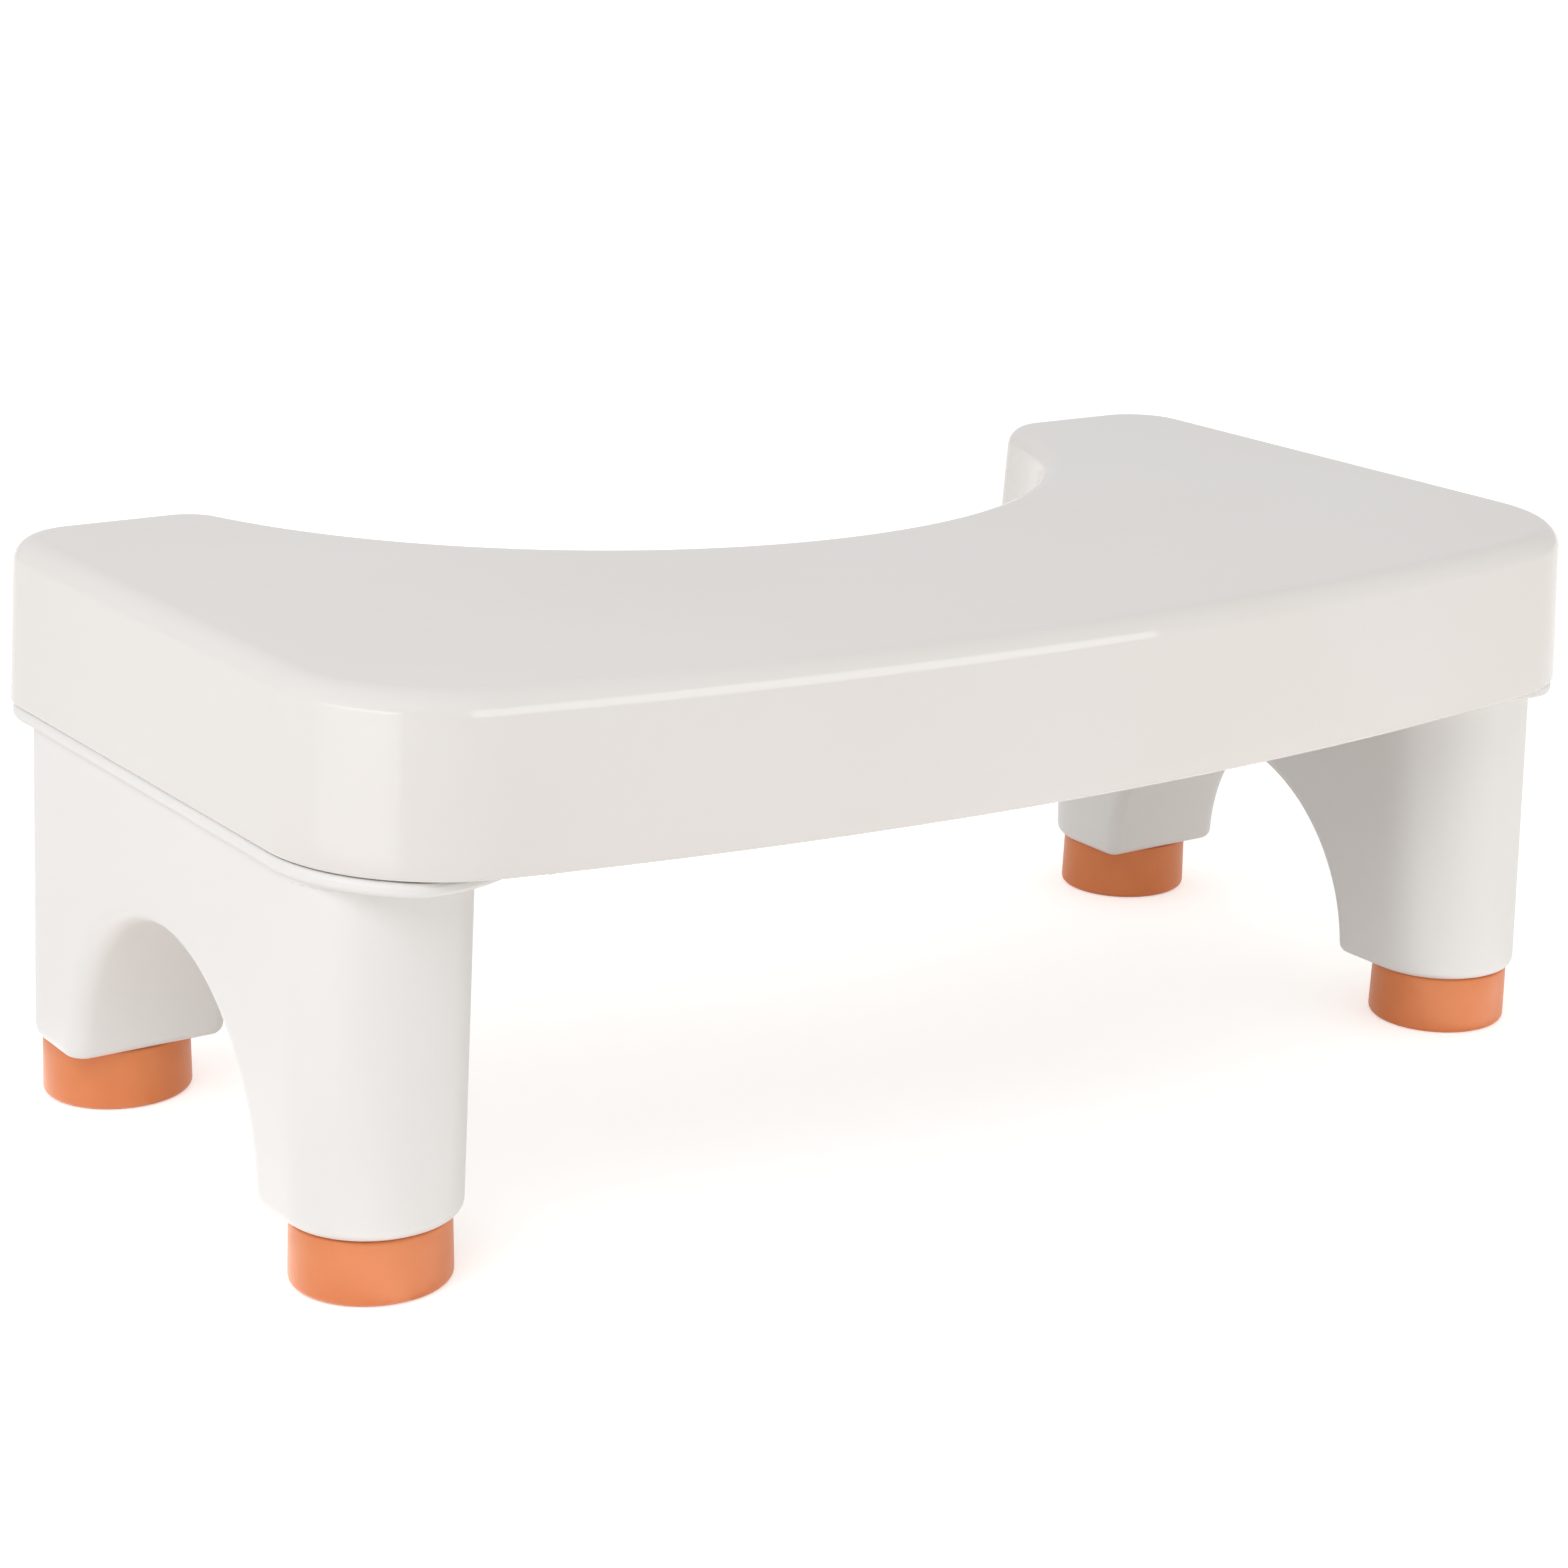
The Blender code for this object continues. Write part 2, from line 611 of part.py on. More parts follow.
def plastic(name, colour, roughness):
    """A material with no metal in it."""
    material = bpy.data.materials.new(name)
    material.use_nodes = True
    shader = material.node_tree.nodes["Principled BSDF"]
    shader.inputs["Base Color"].default_value = (*colour, 1)
    shader.inputs["Roughness"].default_value = roughness
    shader.inputs["Metallic"].default_value = 0
    return material


def finish(obj, name, material, collection, origin=(0, 0, 0)):
    """Moves a made body into the stool's collection under its own name, material and origin."""
    bpy.data.collections["cutters"].objects.unlink(obj)
    collection.objects.link(obj)
    obj.name = name
    obj.data.name = name
    obj.hide_render = False
    obj.display_type = "TEXTURED"
    obj.data.materials.clear()
    obj.data.materials.append(material)
    obj.data.transform(Matrix.Translation(-Vector(origin)))
    obj.location = origin
    obj.data.shade_smooth()
    obj.data.set_sharp_from_angle(angle=SHADING_ANGLE)
    return obj


def clear_scene():
    for obj in list(bpy.data.objects):
        bpy.data.objects.remove(obj)
    for collection in list(bpy.data.collections):
        bpy.data.collections.remove(collection)


def main():
    clear_scene()
    stool = bpy.data.collections.new("toilet_footstool")
    cutters = bpy.data.collections.new("cutters")
    for collection in (stool, cutters):
        bpy.context.scene.collection.children.link(collection)

    gloss = plastic("gloss_deck_plastic", (0.83, 0.80, 0.74), 0.18)
    satin = plastic("satin_leg_plastic", (0.86, 0.84, 0.79), 0.42)
    rubber = plastic("orange_rubber", (0.76, 0.24, 0.10), 0.60)

    finish(deck_shell(), "deck_shell", gloss, stool)
    right = leg_frame()
    left = mirrored(right, "left_frame")
    middle = frame_section(LIP_TOP)["x"], frame_middle_y(), LIP_TOP
    finish(right, "right_leg_frame", satin, stool, middle)
    finish(left, "left_leg_frame", satin, stool, (-middle[0], *middle[1:]))

    first = finish(rubber_foot(), "front_left_foot", rubber, stool)
    for end, (x, y) in zip(("front", "rear"), foot_places()):
        for side, sign in (("left", -1), ("right", 1)):
            name = f"{end}_{side}_foot"
            foot = first if name == first.name else new_object(name, first.data, stool)
            foot.location = (sign * x, y, 0)


main()
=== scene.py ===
# %% [markdown]
# # A footstool with a curved cut-out
#
# The stool is a long, low deck with its cut-out at the back, two arched leg frames that clip up into
# its ends, and four orange rubber feet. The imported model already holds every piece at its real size.
# This lesson makes the pieces again as smooth surfaces, with the soft edges that moulding leaves, and
# gives each one its finish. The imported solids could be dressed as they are, but their curves are cut
# into short flats, and a glossy shell shows each of them.

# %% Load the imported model
import math

import bpy
import numpy as np
from mathutils import Matrix, Vector


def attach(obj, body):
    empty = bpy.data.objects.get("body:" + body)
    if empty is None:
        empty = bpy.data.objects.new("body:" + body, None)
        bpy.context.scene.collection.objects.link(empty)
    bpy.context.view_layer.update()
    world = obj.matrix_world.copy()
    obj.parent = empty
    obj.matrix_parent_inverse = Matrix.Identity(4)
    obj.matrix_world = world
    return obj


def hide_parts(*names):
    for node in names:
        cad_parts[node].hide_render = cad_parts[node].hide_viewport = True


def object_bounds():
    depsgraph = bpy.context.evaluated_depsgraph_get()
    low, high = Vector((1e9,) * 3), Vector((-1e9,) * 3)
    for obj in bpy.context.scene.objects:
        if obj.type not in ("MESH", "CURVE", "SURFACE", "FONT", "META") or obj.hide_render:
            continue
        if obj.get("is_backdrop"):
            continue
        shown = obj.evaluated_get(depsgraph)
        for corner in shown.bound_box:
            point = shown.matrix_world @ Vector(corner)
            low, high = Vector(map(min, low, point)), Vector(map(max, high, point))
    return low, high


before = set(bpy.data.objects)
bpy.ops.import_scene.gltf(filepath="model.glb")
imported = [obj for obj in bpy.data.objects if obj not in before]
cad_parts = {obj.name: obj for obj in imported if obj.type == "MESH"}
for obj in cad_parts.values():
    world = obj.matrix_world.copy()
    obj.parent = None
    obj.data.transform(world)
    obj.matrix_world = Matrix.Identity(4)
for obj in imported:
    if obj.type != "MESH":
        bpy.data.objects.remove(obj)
cad_box = [list(corner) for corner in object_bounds()]
print("Packed pieces:", ", ".join(sorted(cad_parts)))

# %% [markdown]
# ## Sizes
#
# All the sizes are in metres. They are the same as those of the solids, so each new surface lies on the
# solid that it stands for. The deck is measured at the lower edge of its skirt, and the leg frames at
# the bottoms of their legs. The small radii are the scene's own: the solids have sharp corners there,
# and round the arch's inner edge less.

# %% Sizes
# The deck and its ribs
DECK_LENGTH = 0.430
DECK_DEPTH = 0.2398
STOOL_HEIGHT = 0.1618
SKIRT_HEIGHT = 0.0464
FRONT_RADIUS = 0.931
FRONT_CORNER_RADIUS = 0.0489
BACK_CORNER_RADIUS = 0.0233
WING_WIDTH = 0.0690
CUTOUT_DEPTH = 0.1149
WING_TIP_RADIUS = 0.0183
TOP_EDGE_RADIUS = 0.0068
SKIRT_EDGE_RADIUS = 0.0010
SKIRT_FLARE = 0.0024
DECK_WALL = 0.0024
DECK_TOP_THICKNESS = 0.0032
RIB_THICKNESS = 0.0020
RIB_RISE = 0.0080
CROSS_RIB_SPACING = 0.0460
LONG_RIB_SHARES = (0.30, 0.58)
LAST_RIB_SHARE = 0.33

# The leg frames
LEG_BOTTOM_HEIGHT = 0.0181
FRAME_WIDTH = 0.0481
FRAME_CORNER_RADIUS = 0.02357
FRAME_END_INSET = 0.0009
FRAME_BACK_SETBACK = 0.0074
FRAME_SPLAY = 0.0030
FRAME_DRAFT = 0.0015
FRAME_END_SPLAY = 0.0026
CORNER_MARGIN = 0.0021
LEG_BOTTOM_ROUND = 0.0030
ARCH_WIDTH = 0.1088
ARCH_HEIGHT = 0.0554
ARCH_OUTER_ROUND = 0.0065

# The lip, the plug above it and the plug's catches
LIP_THICKNESS = 0.0036
LIP_REACH = 0.0130
LIP_INSET = 0.0006
SEAM_GAP = 0.0009
PLUG_HEIGHT = 0.0240
PLUG_WALL = 0.0018
PLUG_CLEARANCE = 0.0005
CATCH_WIDTH = 0.0120
CATCH_HEIGHT = 0.0060
CATCH_REACH = 0.0020
CATCH_SPACING = 0.1000
CATCH_CLEARANCE = 0.0005
CATCH_LEVEL_SHARE = 0.42
FIT_GAP = 0.0003

# The feet
FOOT_WIDTH = 0.0430
FOOT_DEPTH = 0.0409
FOOT_FLARE = 0.0003
FOOT_BOTTOM_ROUND = 0.0018
GROOVE_RADIUS = 0.0120
GROOVE_WIDTH = 0.0024
GROOVE_DEPTH = 0.0012

# The small radii
ARCH_INNER_ROUND = 0.0045
INSIDE_ROUND = 0.0015
SKIRT_INNER_RADIUS = 0.0007
LIP_TOP_ROUND = 0.0012
LIP_BOTTOM_ROUND = 0.0015
LIP_FILLET = 0.0014
FOOT_TOP_ROUND = 0.0008
RIB_EDGE_ROUND = 0.0005

# What follows from these sizes
SKIRT_BOTTOM = STOOL_HEIGHT - SKIRT_HEIGHT
DECK_UNDERSIDE = STOOL_HEIGHT - DECK_TOP_THICKNESS
LIP_TOP = SKIRT_BOTTOM - SEAM_GAP
LIP_BOTTOM = LIP_TOP - LIP_THICKNESS
PLUG_TOP = LIP_TOP + PLUG_HEIGHT
BACK_LINE = DECK_DEPTH / 2
FRONT_CENTRE_Y = FRONT_RADIUS - DECK_DEPTH / 2
CORNER_X = DECK_LENGTH / 2 - FRONT_CORNER_RADIUS
CORNER_Y = FRONT_CENTRE_Y - math.sqrt((FRONT_RADIUS - FRONT_CORNER_RADIUS) ** 2 - CORNER_X**2)
CUTOUT_WIDTH = DECK_LENGTH - 2 * WING_WIDTH
CUTOUT_RADIUS = ((CUTOUT_WIDTH / 2) ** 2 + CUTOUT_DEPTH**2) / (2 * CUTOUT_DEPTH)
CUTOUT_CENTRE_Y = BACK_LINE - CUTOUT_DEPTH + CUTOUT_RADIUS
PLUG_STEP = DECK_WALL + SKIRT_FLARE * PLUG_HEIGHT / SKIRT_HEIGHT + PLUG_CLEARANCE - CORNER_MARGIN
print(f"Deck {DECK_LENGTH * 1000:.0f} x {DECK_DEPTH * 1000:.0f} mm, {STOOL_HEIGHT * 1000:.0f} mm high")

# %% [markdown]
# ## Camera
#
# The camera stands at the front left, above the deck, and looks across it to the back right. It could
# be placed by eye, but its place, turn and roll were fitted to the outlines of the deck, the legs and
# the feet, so that their edges fall where they should.

# %% Camera
CAMERA_PLACE = (-0.581125, -0.787228, 0.377985)
CAMERA_RIGHT = (0.819313, -0.572599, 0.029265)
CAMERA_UP = (0.140777, 0.250389, 0.957856)
CAMERA_BACK = (-0.555795, -0.780664, 0.285755)
SENSOR_WIDTH = 36.0
LENS = 79.747

camera_data = bpy.data.cameras.new("camera")
camera_data.sensor_width = SENSOR_WIDTH
camera_data.lens = LENS
camera_data.clip_start = 0.05
camera_data.clip_end = 50
camera = bpy.data.objects.new("camera", camera_data)
bpy.context.scene.collection.objects.link(camera)
turn = np.eye(4)
turn[:3, 0], turn[:3, 1], turn[:3, 2], turn[:3, 3] = CAMERA_RIGHT, CAMERA_UP, CAMERA_BACK, CAMERA_PLACE
camera.matrix_world = Matrix(turn.tolist())
bpy.context.scene.camera = camera
print("Camera is", round(math.dist(CAMERA_PLACE, (0, 0, 0)), 3), "m from the stool")

# %% [markdown]
# ## From points to a mesh
#
# Every moulded piece here is a grid of points. The rows run along one direction of the surface, such as
# from the underside round the edge to the top, and the columns run round the piece. A helper joins each
# point to its neighbours with four-sided faces, and closes the first and the last row with one flat face
# each. The mesh could be joined face by face in a loop, but whole arrays are shorter and far faster.


# %% Grid helper
def signed_volume(points, faces):
    """Adds up, for every triangle of every face, a sixth of the box that its corners span with the origin.
    The sum is the volume inside, and it is below zero when the faces point inwards."""
    total = 0.0
    for count in {len(face) for face in faces}:
        corners = points[np.array([face for face in faces if len(face) == count])]
        first = corners[:, :1]
        cross = np.cross(corners[:, 1:-1], corners[:, 2:])
        total += float(np.sum(first * cross) / 6)
    return total


def make_piece(name, points, faces):
    """Puts points and faces into a smooth mesh object whose faces point outwards."""
    points = np.asarray(points, float).reshape(-1, 3)
    faces = [tuple(face) for face in faces]
    if signed_volume(points, faces) < 0:
        faces = [face[::-1] for face in faces]
    mesh = bpy.data.meshes.new(name)
    mesh.from_pydata(points.tolist(), [], faces)
    mesh.validate()
    mesh.shade_smooth()
    piece = bpy.data.objects.new(name, mesh)
    bpy.context.scene.collection.objects.link(piece)
    return piece


def grid_faces(rows, columns, wrap_rows=False, first=0):
    """Four-sided faces between neighbouring points of a grid whose columns close on themselves."""
    index = first + np.arange(rows * columns).reshape(rows, columns)
    lower = index if wrap_rows else index[:-1]
    upper = np.roll(index, -1, axis=0) if wrap_rows else index[1:]
    quads = np.stack([lower, np.roll(lower, -1, axis=1), np.roll(upper, -1, axis=1), upper], axis=-1)
    return quads.reshape(-1, 4).tolist()


def closed_surface(grid, first=0):
    """The faces of a grid of rows, with one flat face on its first row and one on its last."""
    rows, columns = grid.shape[:2]
    faces = grid_faces(rows, columns, first=first)
    faces.append(list(range(first, first + columns))[::-1])
    last = first + (rows - 1) * columns
    faces.append(list(range(last, last + columns)))
    return faces


def both_sides(name, grid, faces):
    """A piece of the right leg frame and its mirror image, the left one first."""
    return [make_piece(f"left_{name}", grid * (-1, 1, 1), faces), make_piece(f"right_{name}", grid, faces)]


def quarter(count):
    """The turns from nothing to a quarter circle, in equal steps."""
    return np.linspace(0, math.pi / 2, count)


corner_points, corner_faces = np.eye(4, 3), [(0, 3, 1), (1, 3, 2), (2, 3, 0), (0, 1, 2)]
print("A cube's corner should hold a sixth of it:", round(signed_volume(corner_points, corner_faces), 4))

# %% [markdown]
# ## The deck's outline
#
# Seen from above, the front of the deck is one very wide arc, the front corners are large arcs, the back
# corners are tighter, and the cut-out is part of a circle. The arcs meet without a kink, yet the bend
# changes at once where they meet, and that is what makes the long highlight on the front edge stop so
# suddenly at the corner. A free curve through points could follow the same outline, but it would blur
# that change, so the outline is built from true arcs. Moving it inwards is only a change of radius.

# %% Outline of the deck
BOW_STEPS = 90
CORNER_STEPS = 44
TIP_STEPS = 24
CUTOUT_STEPS = 90


def arc(centre, radius, start, end, steps):
    """Points at equal steps of angle on a circle, without the last one."""
    angle = start + (end - start) * np.arange(steps) / steps
    return np.stack([centre[0] + radius * np.cos(angle), centre[1] + radius * np.sin(angle)], axis=-1)


def deck_outline(inset):
    """The deck's plan, moved in by an inset. Arcs make the right half, from the front's middle to the
    cut-out's middle, and its mirror image is the left half."""
    half_length, back = DECK_LENGTH / 2 - inset, BACK_LINE - inset
    bow, front, rear = FRONT_RADIUS - inset, FRONT_CORNER_RADIUS - inset, BACK_CORNER_RADIUS - inset
    tip, cutout = WING_TIP_RADIUS - inset, CUTOUT_RADIUS + inset
    lean = math.atan2(CORNER_X, FRONT_CENTRE_Y - CORNER_Y)
    tip_y = back - tip
    tip_x = math.sqrt((cutout + tip) ** 2 - (CUTOUT_CENTRE_Y - tip_y) ** 2)
    mouth = math.atan2(tip_x, CUTOUT_CENTRE_Y - tip_y)
    down = -math.pi / 2
    half = np.concatenate([
        arc((0, FRONT_CENTRE_Y), bow, down, down + lean, BOW_STEPS),
        arc((CORNER_X, CORNER_Y), front, down + lean, 0, CORNER_STEPS),
        [[half_length, CORNER_Y]],
        arc((half_length - rear, back - rear), rear, 0, math.pi / 2, CORNER_STEPS),
        [[half_length - rear, back]],
        arc((tip_x, tip_y), tip, math.pi / 2, math.pi / 2 + mouth, TIP_STEPS),
        arc((0, CUTOUT_CENTRE_Y), cutout, down + mouth, down, CUTOUT_STEPS),
        [[0, CUTOUT_CENTRE_Y - cutout]],
    ])
    return np.concatenate([half, half[-2:0:-1] * (-1, 1)])


def flare_at(height):
    """The skirt leans in evenly from its lower edge to the top."""
    return SKIRT_FLARE * (height - SKIRT_BOTTOM) / SKIRT_HEIGHT


outline = deck_outline(0)
print(len(outline), "points round the deck;", "reach", outline.max(0).round(4), outline.min(0).round(4))

# %% [markdown]
# ## The deck's shell
#
# The real deck is one moulding with a wall about as thick as a coin all over, open underneath. Its
# surface is carried round the outline as one profile: from the middle of the hollow ceiling, down the
# inside of the skirt, round the lower edge, up the outside, over the rounded top edge and back in across
# the tread. It could also be a flat shape with Solidify and Bevel, but then the inside corner and the
# thin lower edge wouldn't have radii of their own.


# %% Deck shell
CEILING_REACH = 4 * INSIDE_ROUND
FILLET_STEPS = 9
INNER_WALL_STEPS = 6
INNER_EDGE_STEPS = 5
LOWER_EDGE_STEPS = 7
OUTER_WALL_STEPS = 8
TOP_EDGE_STEPS = 19
TREAD_STEPS = (0.0003, 0.0010, 0.0030)


def deck_profile():
    """Pairs of inset and height: ceiling, inner fillet, wall, lower edge, wall, rounded edge, tread."""
    ceiling = DECK_WALL + flare_at(DECK_UNDERSIDE)
    inner = [[ceiling + CEILING_REACH, DECK_UNDERSIDE]]
    inner += [[ceiling + INSIDE_ROUND * (1 - math.sin(t)), DECK_UNDERSIDE - INSIDE_ROUND * (1 - math.cos(t))]
              for t in quarter(FILLET_STEPS)]
    lowest = SKIRT_BOTTOM + SKIRT_INNER_RADIUS
    for height in np.linspace(DECK_UNDERSIDE - INSIDE_ROUND, lowest, INNER_WALL_STEPS)[1:]:
        inner.append([DECK_WALL + flare_at(height), height])
    inner += [[DECK_WALL - SKIRT_INNER_RADIUS * (1 - math.cos(t)),
               SKIRT_BOTTOM + SKIRT_INNER_RADIUS * (1 - math.sin(t))] for t in quarter(INNER_EDGE_STEPS)[1:]]
    low = SKIRT_BOTTOM + SKIRT_EDGE_RADIUS
    edge = [[SKIRT_EDGE_RADIUS * (1 - math.sin(t)), low - SKIRT_EDGE_RADIUS * math.cos(t)]
            for t in quarter(LOWER_EDGE_STEPS)]
    shoulder = STOOL_HEIGHT - TOP_EDGE_RADIUS
    outer = [[flare_at(height), height] for height in np.linspace(low, shoulder, OUTER_WALL_STEPS)[1:-1]]
    lean = flare_at(shoulder)
    rounded = [[lean + TOP_EDGE_RADIUS * (1 - math.cos(t)), shoulder + TOP_EDGE_RADIUS * math.sin(t)]
               for t in quarter(TOP_EDGE_STEPS)]
    tread = [[lean + TOP_EDGE_RADIUS + step, STOOL_HEIGHT] for step in TREAD_STEPS]
    return inner + edge + outer + rounded + tread


profile = deck_profile()
deck_grid = np.stack([np.column_stack([deck_outline(inset), np.full(len(outline), height)])
                      for inset, height in profile])
deck_skin = make_piece("deck_skin", deck_grid, closed_surface(deck_grid))
print("Deck shell:", deck_grid.shape[:2], "rows and columns; wall", DECK_WALL * 1000, "mm")

# %% [markdown]
# ## Ribs under the deck
#
# A flat plastic top this thin would bend under a foot, so the real moulding has ribs under it. Each rib
# has a rounded lower edge and spreads out where it joins the ceiling, because molten plastic flows badly
# into a sharp corner. Ribs could be plain boxes, but these edges show in the light from below. A rib here
# is one outline of its thickness, carried from one end to the other, and its ends follow the skirt's lean.


# %% Ribs
RIB_ROOT = 0.0008
RIB_SINK = 0.0004
RIB_BITE = 0.0004
RIB_STEPS = 9
ROOT_STEPS = 5


def rib_outline(low):
    """Across the rib and up: half a circle at the lower edge, straight sides, and a spreading root."""
    half = RIB_THICKNESS / 2
    turns = np.linspace(math.pi, 2 * math.pi, RIB_STEPS)
    lower = np.stack([half * np.cos(turns), low + half + half * np.sin(turns)], axis=-1)
    spread = quarter(ROOT_STEPS)
    right = np.stack([half + RIB_ROOT * (1 - np.cos(spread)),
                      DECK_UNDERSIDE - RIB_ROOT * (1 - np.sin(spread))], axis=-1)
    top = [[half + RIB_ROOT, DECK_UNDERSIDE + RIB_SINK], [-half - RIB_ROOT, DECK_UNDERSIDE + RIB_SINK]]
    return np.concatenate([lower, right, top, right[::-1] * (-1, 1)])


def rib_grid(place, start_at, end_at, low, along):
    """A rib at a place on one axis, from start to end on the other. Its ends may change with the place and
    the height, so that it ends in a slanting or curved wall without coming out on the far side."""
    across, height = rib_outline(low).T
    rows = []
    for end in (start_at, end_at):
        run = end(across + place, height) * np.ones_like(height)
        plan = [run, across + place] if along == "x" else [across + place, run]
        rows.append(np.stack([*plan, height], axis=-1))
    return np.stack(rows)


def rib_inset(height):
    """How far in from the deck's edge a rib ends: the lean and the wall, less the bite it takes of it."""
    return flare_at(height) + DECK_WALL - RIB_BITE


def front_wall_y(x, height):
    """Where a rib ends in the front skirt, which is the bow moved in."""
    return FRONT_CENTRE_Y - np.sqrt((FRONT_RADIUS - rib_inset(height)) ** 2 - x**2)


def cutout_wall_y(x, height):
    """Where a rib ends in the cut-out's wall, which is its circle moved out."""
    return CUTOUT_CENTRE_Y - np.sqrt((CUTOUT_RADIUS + rib_inset(height)) ** 2 - x**2)


def end_wall_x(y, height):
    """Where a rib ends in an end skirt: in its straight wall, or in the front corner's arc further on."""
    past = np.maximum(CORNER_Y - y, 0)
    return CORNER_X + np.sqrt((FRONT_CORNER_RADIUS - rib_inset(height)) ** 2 - past**2)


def level_end(place):
    """A rib's end that is at the same place at every height."""
    return lambda across, height: place


def join_grids(grids):
    """One list of points and one of faces for several separate closed surfaces."""
    points, faces, count = [], [], 0
    for grid in grids:
        faces += closed_surface(grid, first=count)
        points.append(grid.reshape(-1, 3))
        count += len(points[-1])
    return np.concatenate(points), faces


def frame_front_y():
    """The front of the front leg, set back so that its round corner stays inside the deck's."""
    outer_x = DECK_LENGTH / 2 - FRAME_END_INSET - FRAME_SPLAY + FRAME_DRAFT
    sideways = outer_x - FRAME_CORNER_RADIUS - CORNER_X
    reach = FRONT_CORNER_RADIUS - CORNER_MARGIN - FRAME_CORNER_RADIUS
    return CORNER_Y - math.sqrt(reach**2 - sideways**2) - FRAME_CORNER_RADIUS - FRAME_END_SPLAY


FRAME_BACK_Y = BACK_LINE - FRAME_BACK_SETBACK
FRAME_LENGTH = FRAME_BACK_Y - frame_front_y()
FRAME_MIDDLE_Y = (FRAME_BACK_Y + frame_front_y()) / 2
LEG_REACH = (FRAME_LENGTH + ARCH_WIDTH) / 4


def frame_section(height):
    """A leg frame's middle, half width and half length at a height. They change evenly from the legs'
    bottoms to the lip."""
    rise = np.minimum((height - LEG_BOTTOM_HEIGHT) / (LIP_TOP - LEG_BOTTOM_HEIGHT), 1)
    middle = DECK_LENGTH / 2 - FRAME_END_INSET - FRAME_WIDTH / 2 - FRAME_SPLAY * rise
    return middle, FRAME_WIDTH / 2 + FRAME_DRAFT * rise, FRAME_LENGTH / 2 - FRAME_END_SPLAY * rise


lip_x, lip_half_width, _ = (float(value) for value in frame_section(LIP_TOP))
SOCKET_OUTER = lip_x - lip_half_width + PLUG_STEP - FIT_GAP
SOCKET_INNER = SOCKET_OUTER - RIB_THICKNESS
socket_middle = (SOCKET_OUTER + SOCKET_INNER) / 2
rib_low = SKIRT_BOTTOM + RIB_RISE
waist = BACK_LINE - CUTOUT_DEPTH
cross_count = int((SOCKET_INNER - CROSS_RIB_SPACING * LAST_RIB_SHARE) / CROSS_RIB_SPACING)

rib_grids = []
for step in range(-cross_count, cross_count + 1):
    rib_grids.append(rib_grid(CROSS_RIB_SPACING * step, front_wall_y, cutout_wall_y, rib_low, "y"))
for share in LONG_RIB_SHARES:
    rib_y = share * waist - (1 - share) * BACK_LINE
    rib_grids.append(rib_grid(rib_y, level_end(-socket_middle), level_end(socket_middle), rib_low, "x"))
for side in (-1, 1):
    for rib_y in (FRAME_MIDDLE_Y - LEG_REACH, FRAME_MIDDLE_Y, FRAME_MIDDLE_Y + LEG_REACH):
        rib_grids.append(rib_grid(
            rib_y, level_end(side * socket_middle),
            lambda across, height, side=side: side * end_wall_x(across, height), PLUG_TOP + FIT_GAP, "x"))
deck_ribs = make_piece("deck_ribs", *join_grids(rib_grids))
print(len(rib_grids), "ribs; the leg frame's middle is at y", round(FRAME_MIDDLE_Y, 4))

# %% [markdown]
# ## Socket walls
#
# Each leg frame pushes a hollow plug up into a pocket at the end of the deck. The pocket's inner wall
# has two windows, and a small barb on the plug springs out into each. A window could be cut with a
# Boolean, but a wall with square holes is already a grid with some of its cells left out: the faces
# around a missing cell are drawn between the two sides of the wall.


# %% Socket walls
BEVEL_STEPS = 2
SHARP_EDGE = math.radians(40)


def pierced_wall(x_sides, y_lines, z_lines, holes):
    """Points of a wall between two x places, and its faces. A cell is solid unless it is listed as a hole,
    and wherever a solid cell meets a hole or the outside, one face joins the wall's two sides."""
    rows, columns = len(z_lines), y_lines.shape[1]
    heights = np.repeat(z_lines[:, None], columns, 1)
    points = np.stack([np.stack([np.full_like(y_lines, x), y_lines, heights], -1) for x in x_sides])
    index = np.arange(points[..., 0].size).reshape(2, rows, columns)
    solid = np.ones((rows - 1, columns - 1), bool)
    for row, column in holes:
        solid[row, column] = False
    corners = [index[:, :-1, :-1], index[:, :-1, 1:], index[:, 1:, 1:], index[:, 1:, :-1]]
    cells = np.stack(corners, axis=-1)
    faces = cells[0][solid].tolist() + cells[1][solid][:, ::-1].tolist()
    padded = np.pad(solid, 1)
    here = padded[1:-1, 1:-1]
    neighbours = [(padded[:-2, 1:-1], 0, 1), (padded[1:-1, 2:], 1, 2),
                  (padded[2:, 1:-1], 2, 3), (padded[1:-1, :-2], 3, 0)]
    for neighbour, a, b in neighbours:
        open_side = here & ~neighbour
        near, far = cells[0][open_side], cells[1][open_side]
        faces += np.stack([near[:, b], near[:, a], far[:, a], far[:, b]], axis=-1).tolist()
    return points.reshape(-1, 3), faces


def round_edges(piece, width):
    """Rounds every edge that is sharper than the limit, as a mould's polished corners are."""
    bevel = piece.modifiers.new("soft_edges", "BEVEL")
    bevel.width = width
    bevel.segments = BEVEL_STEPS
    bevel.limit_method = "ANGLE"
    bevel.angle_limit = SHARP_EDGE
    bevel.harden_normals = True


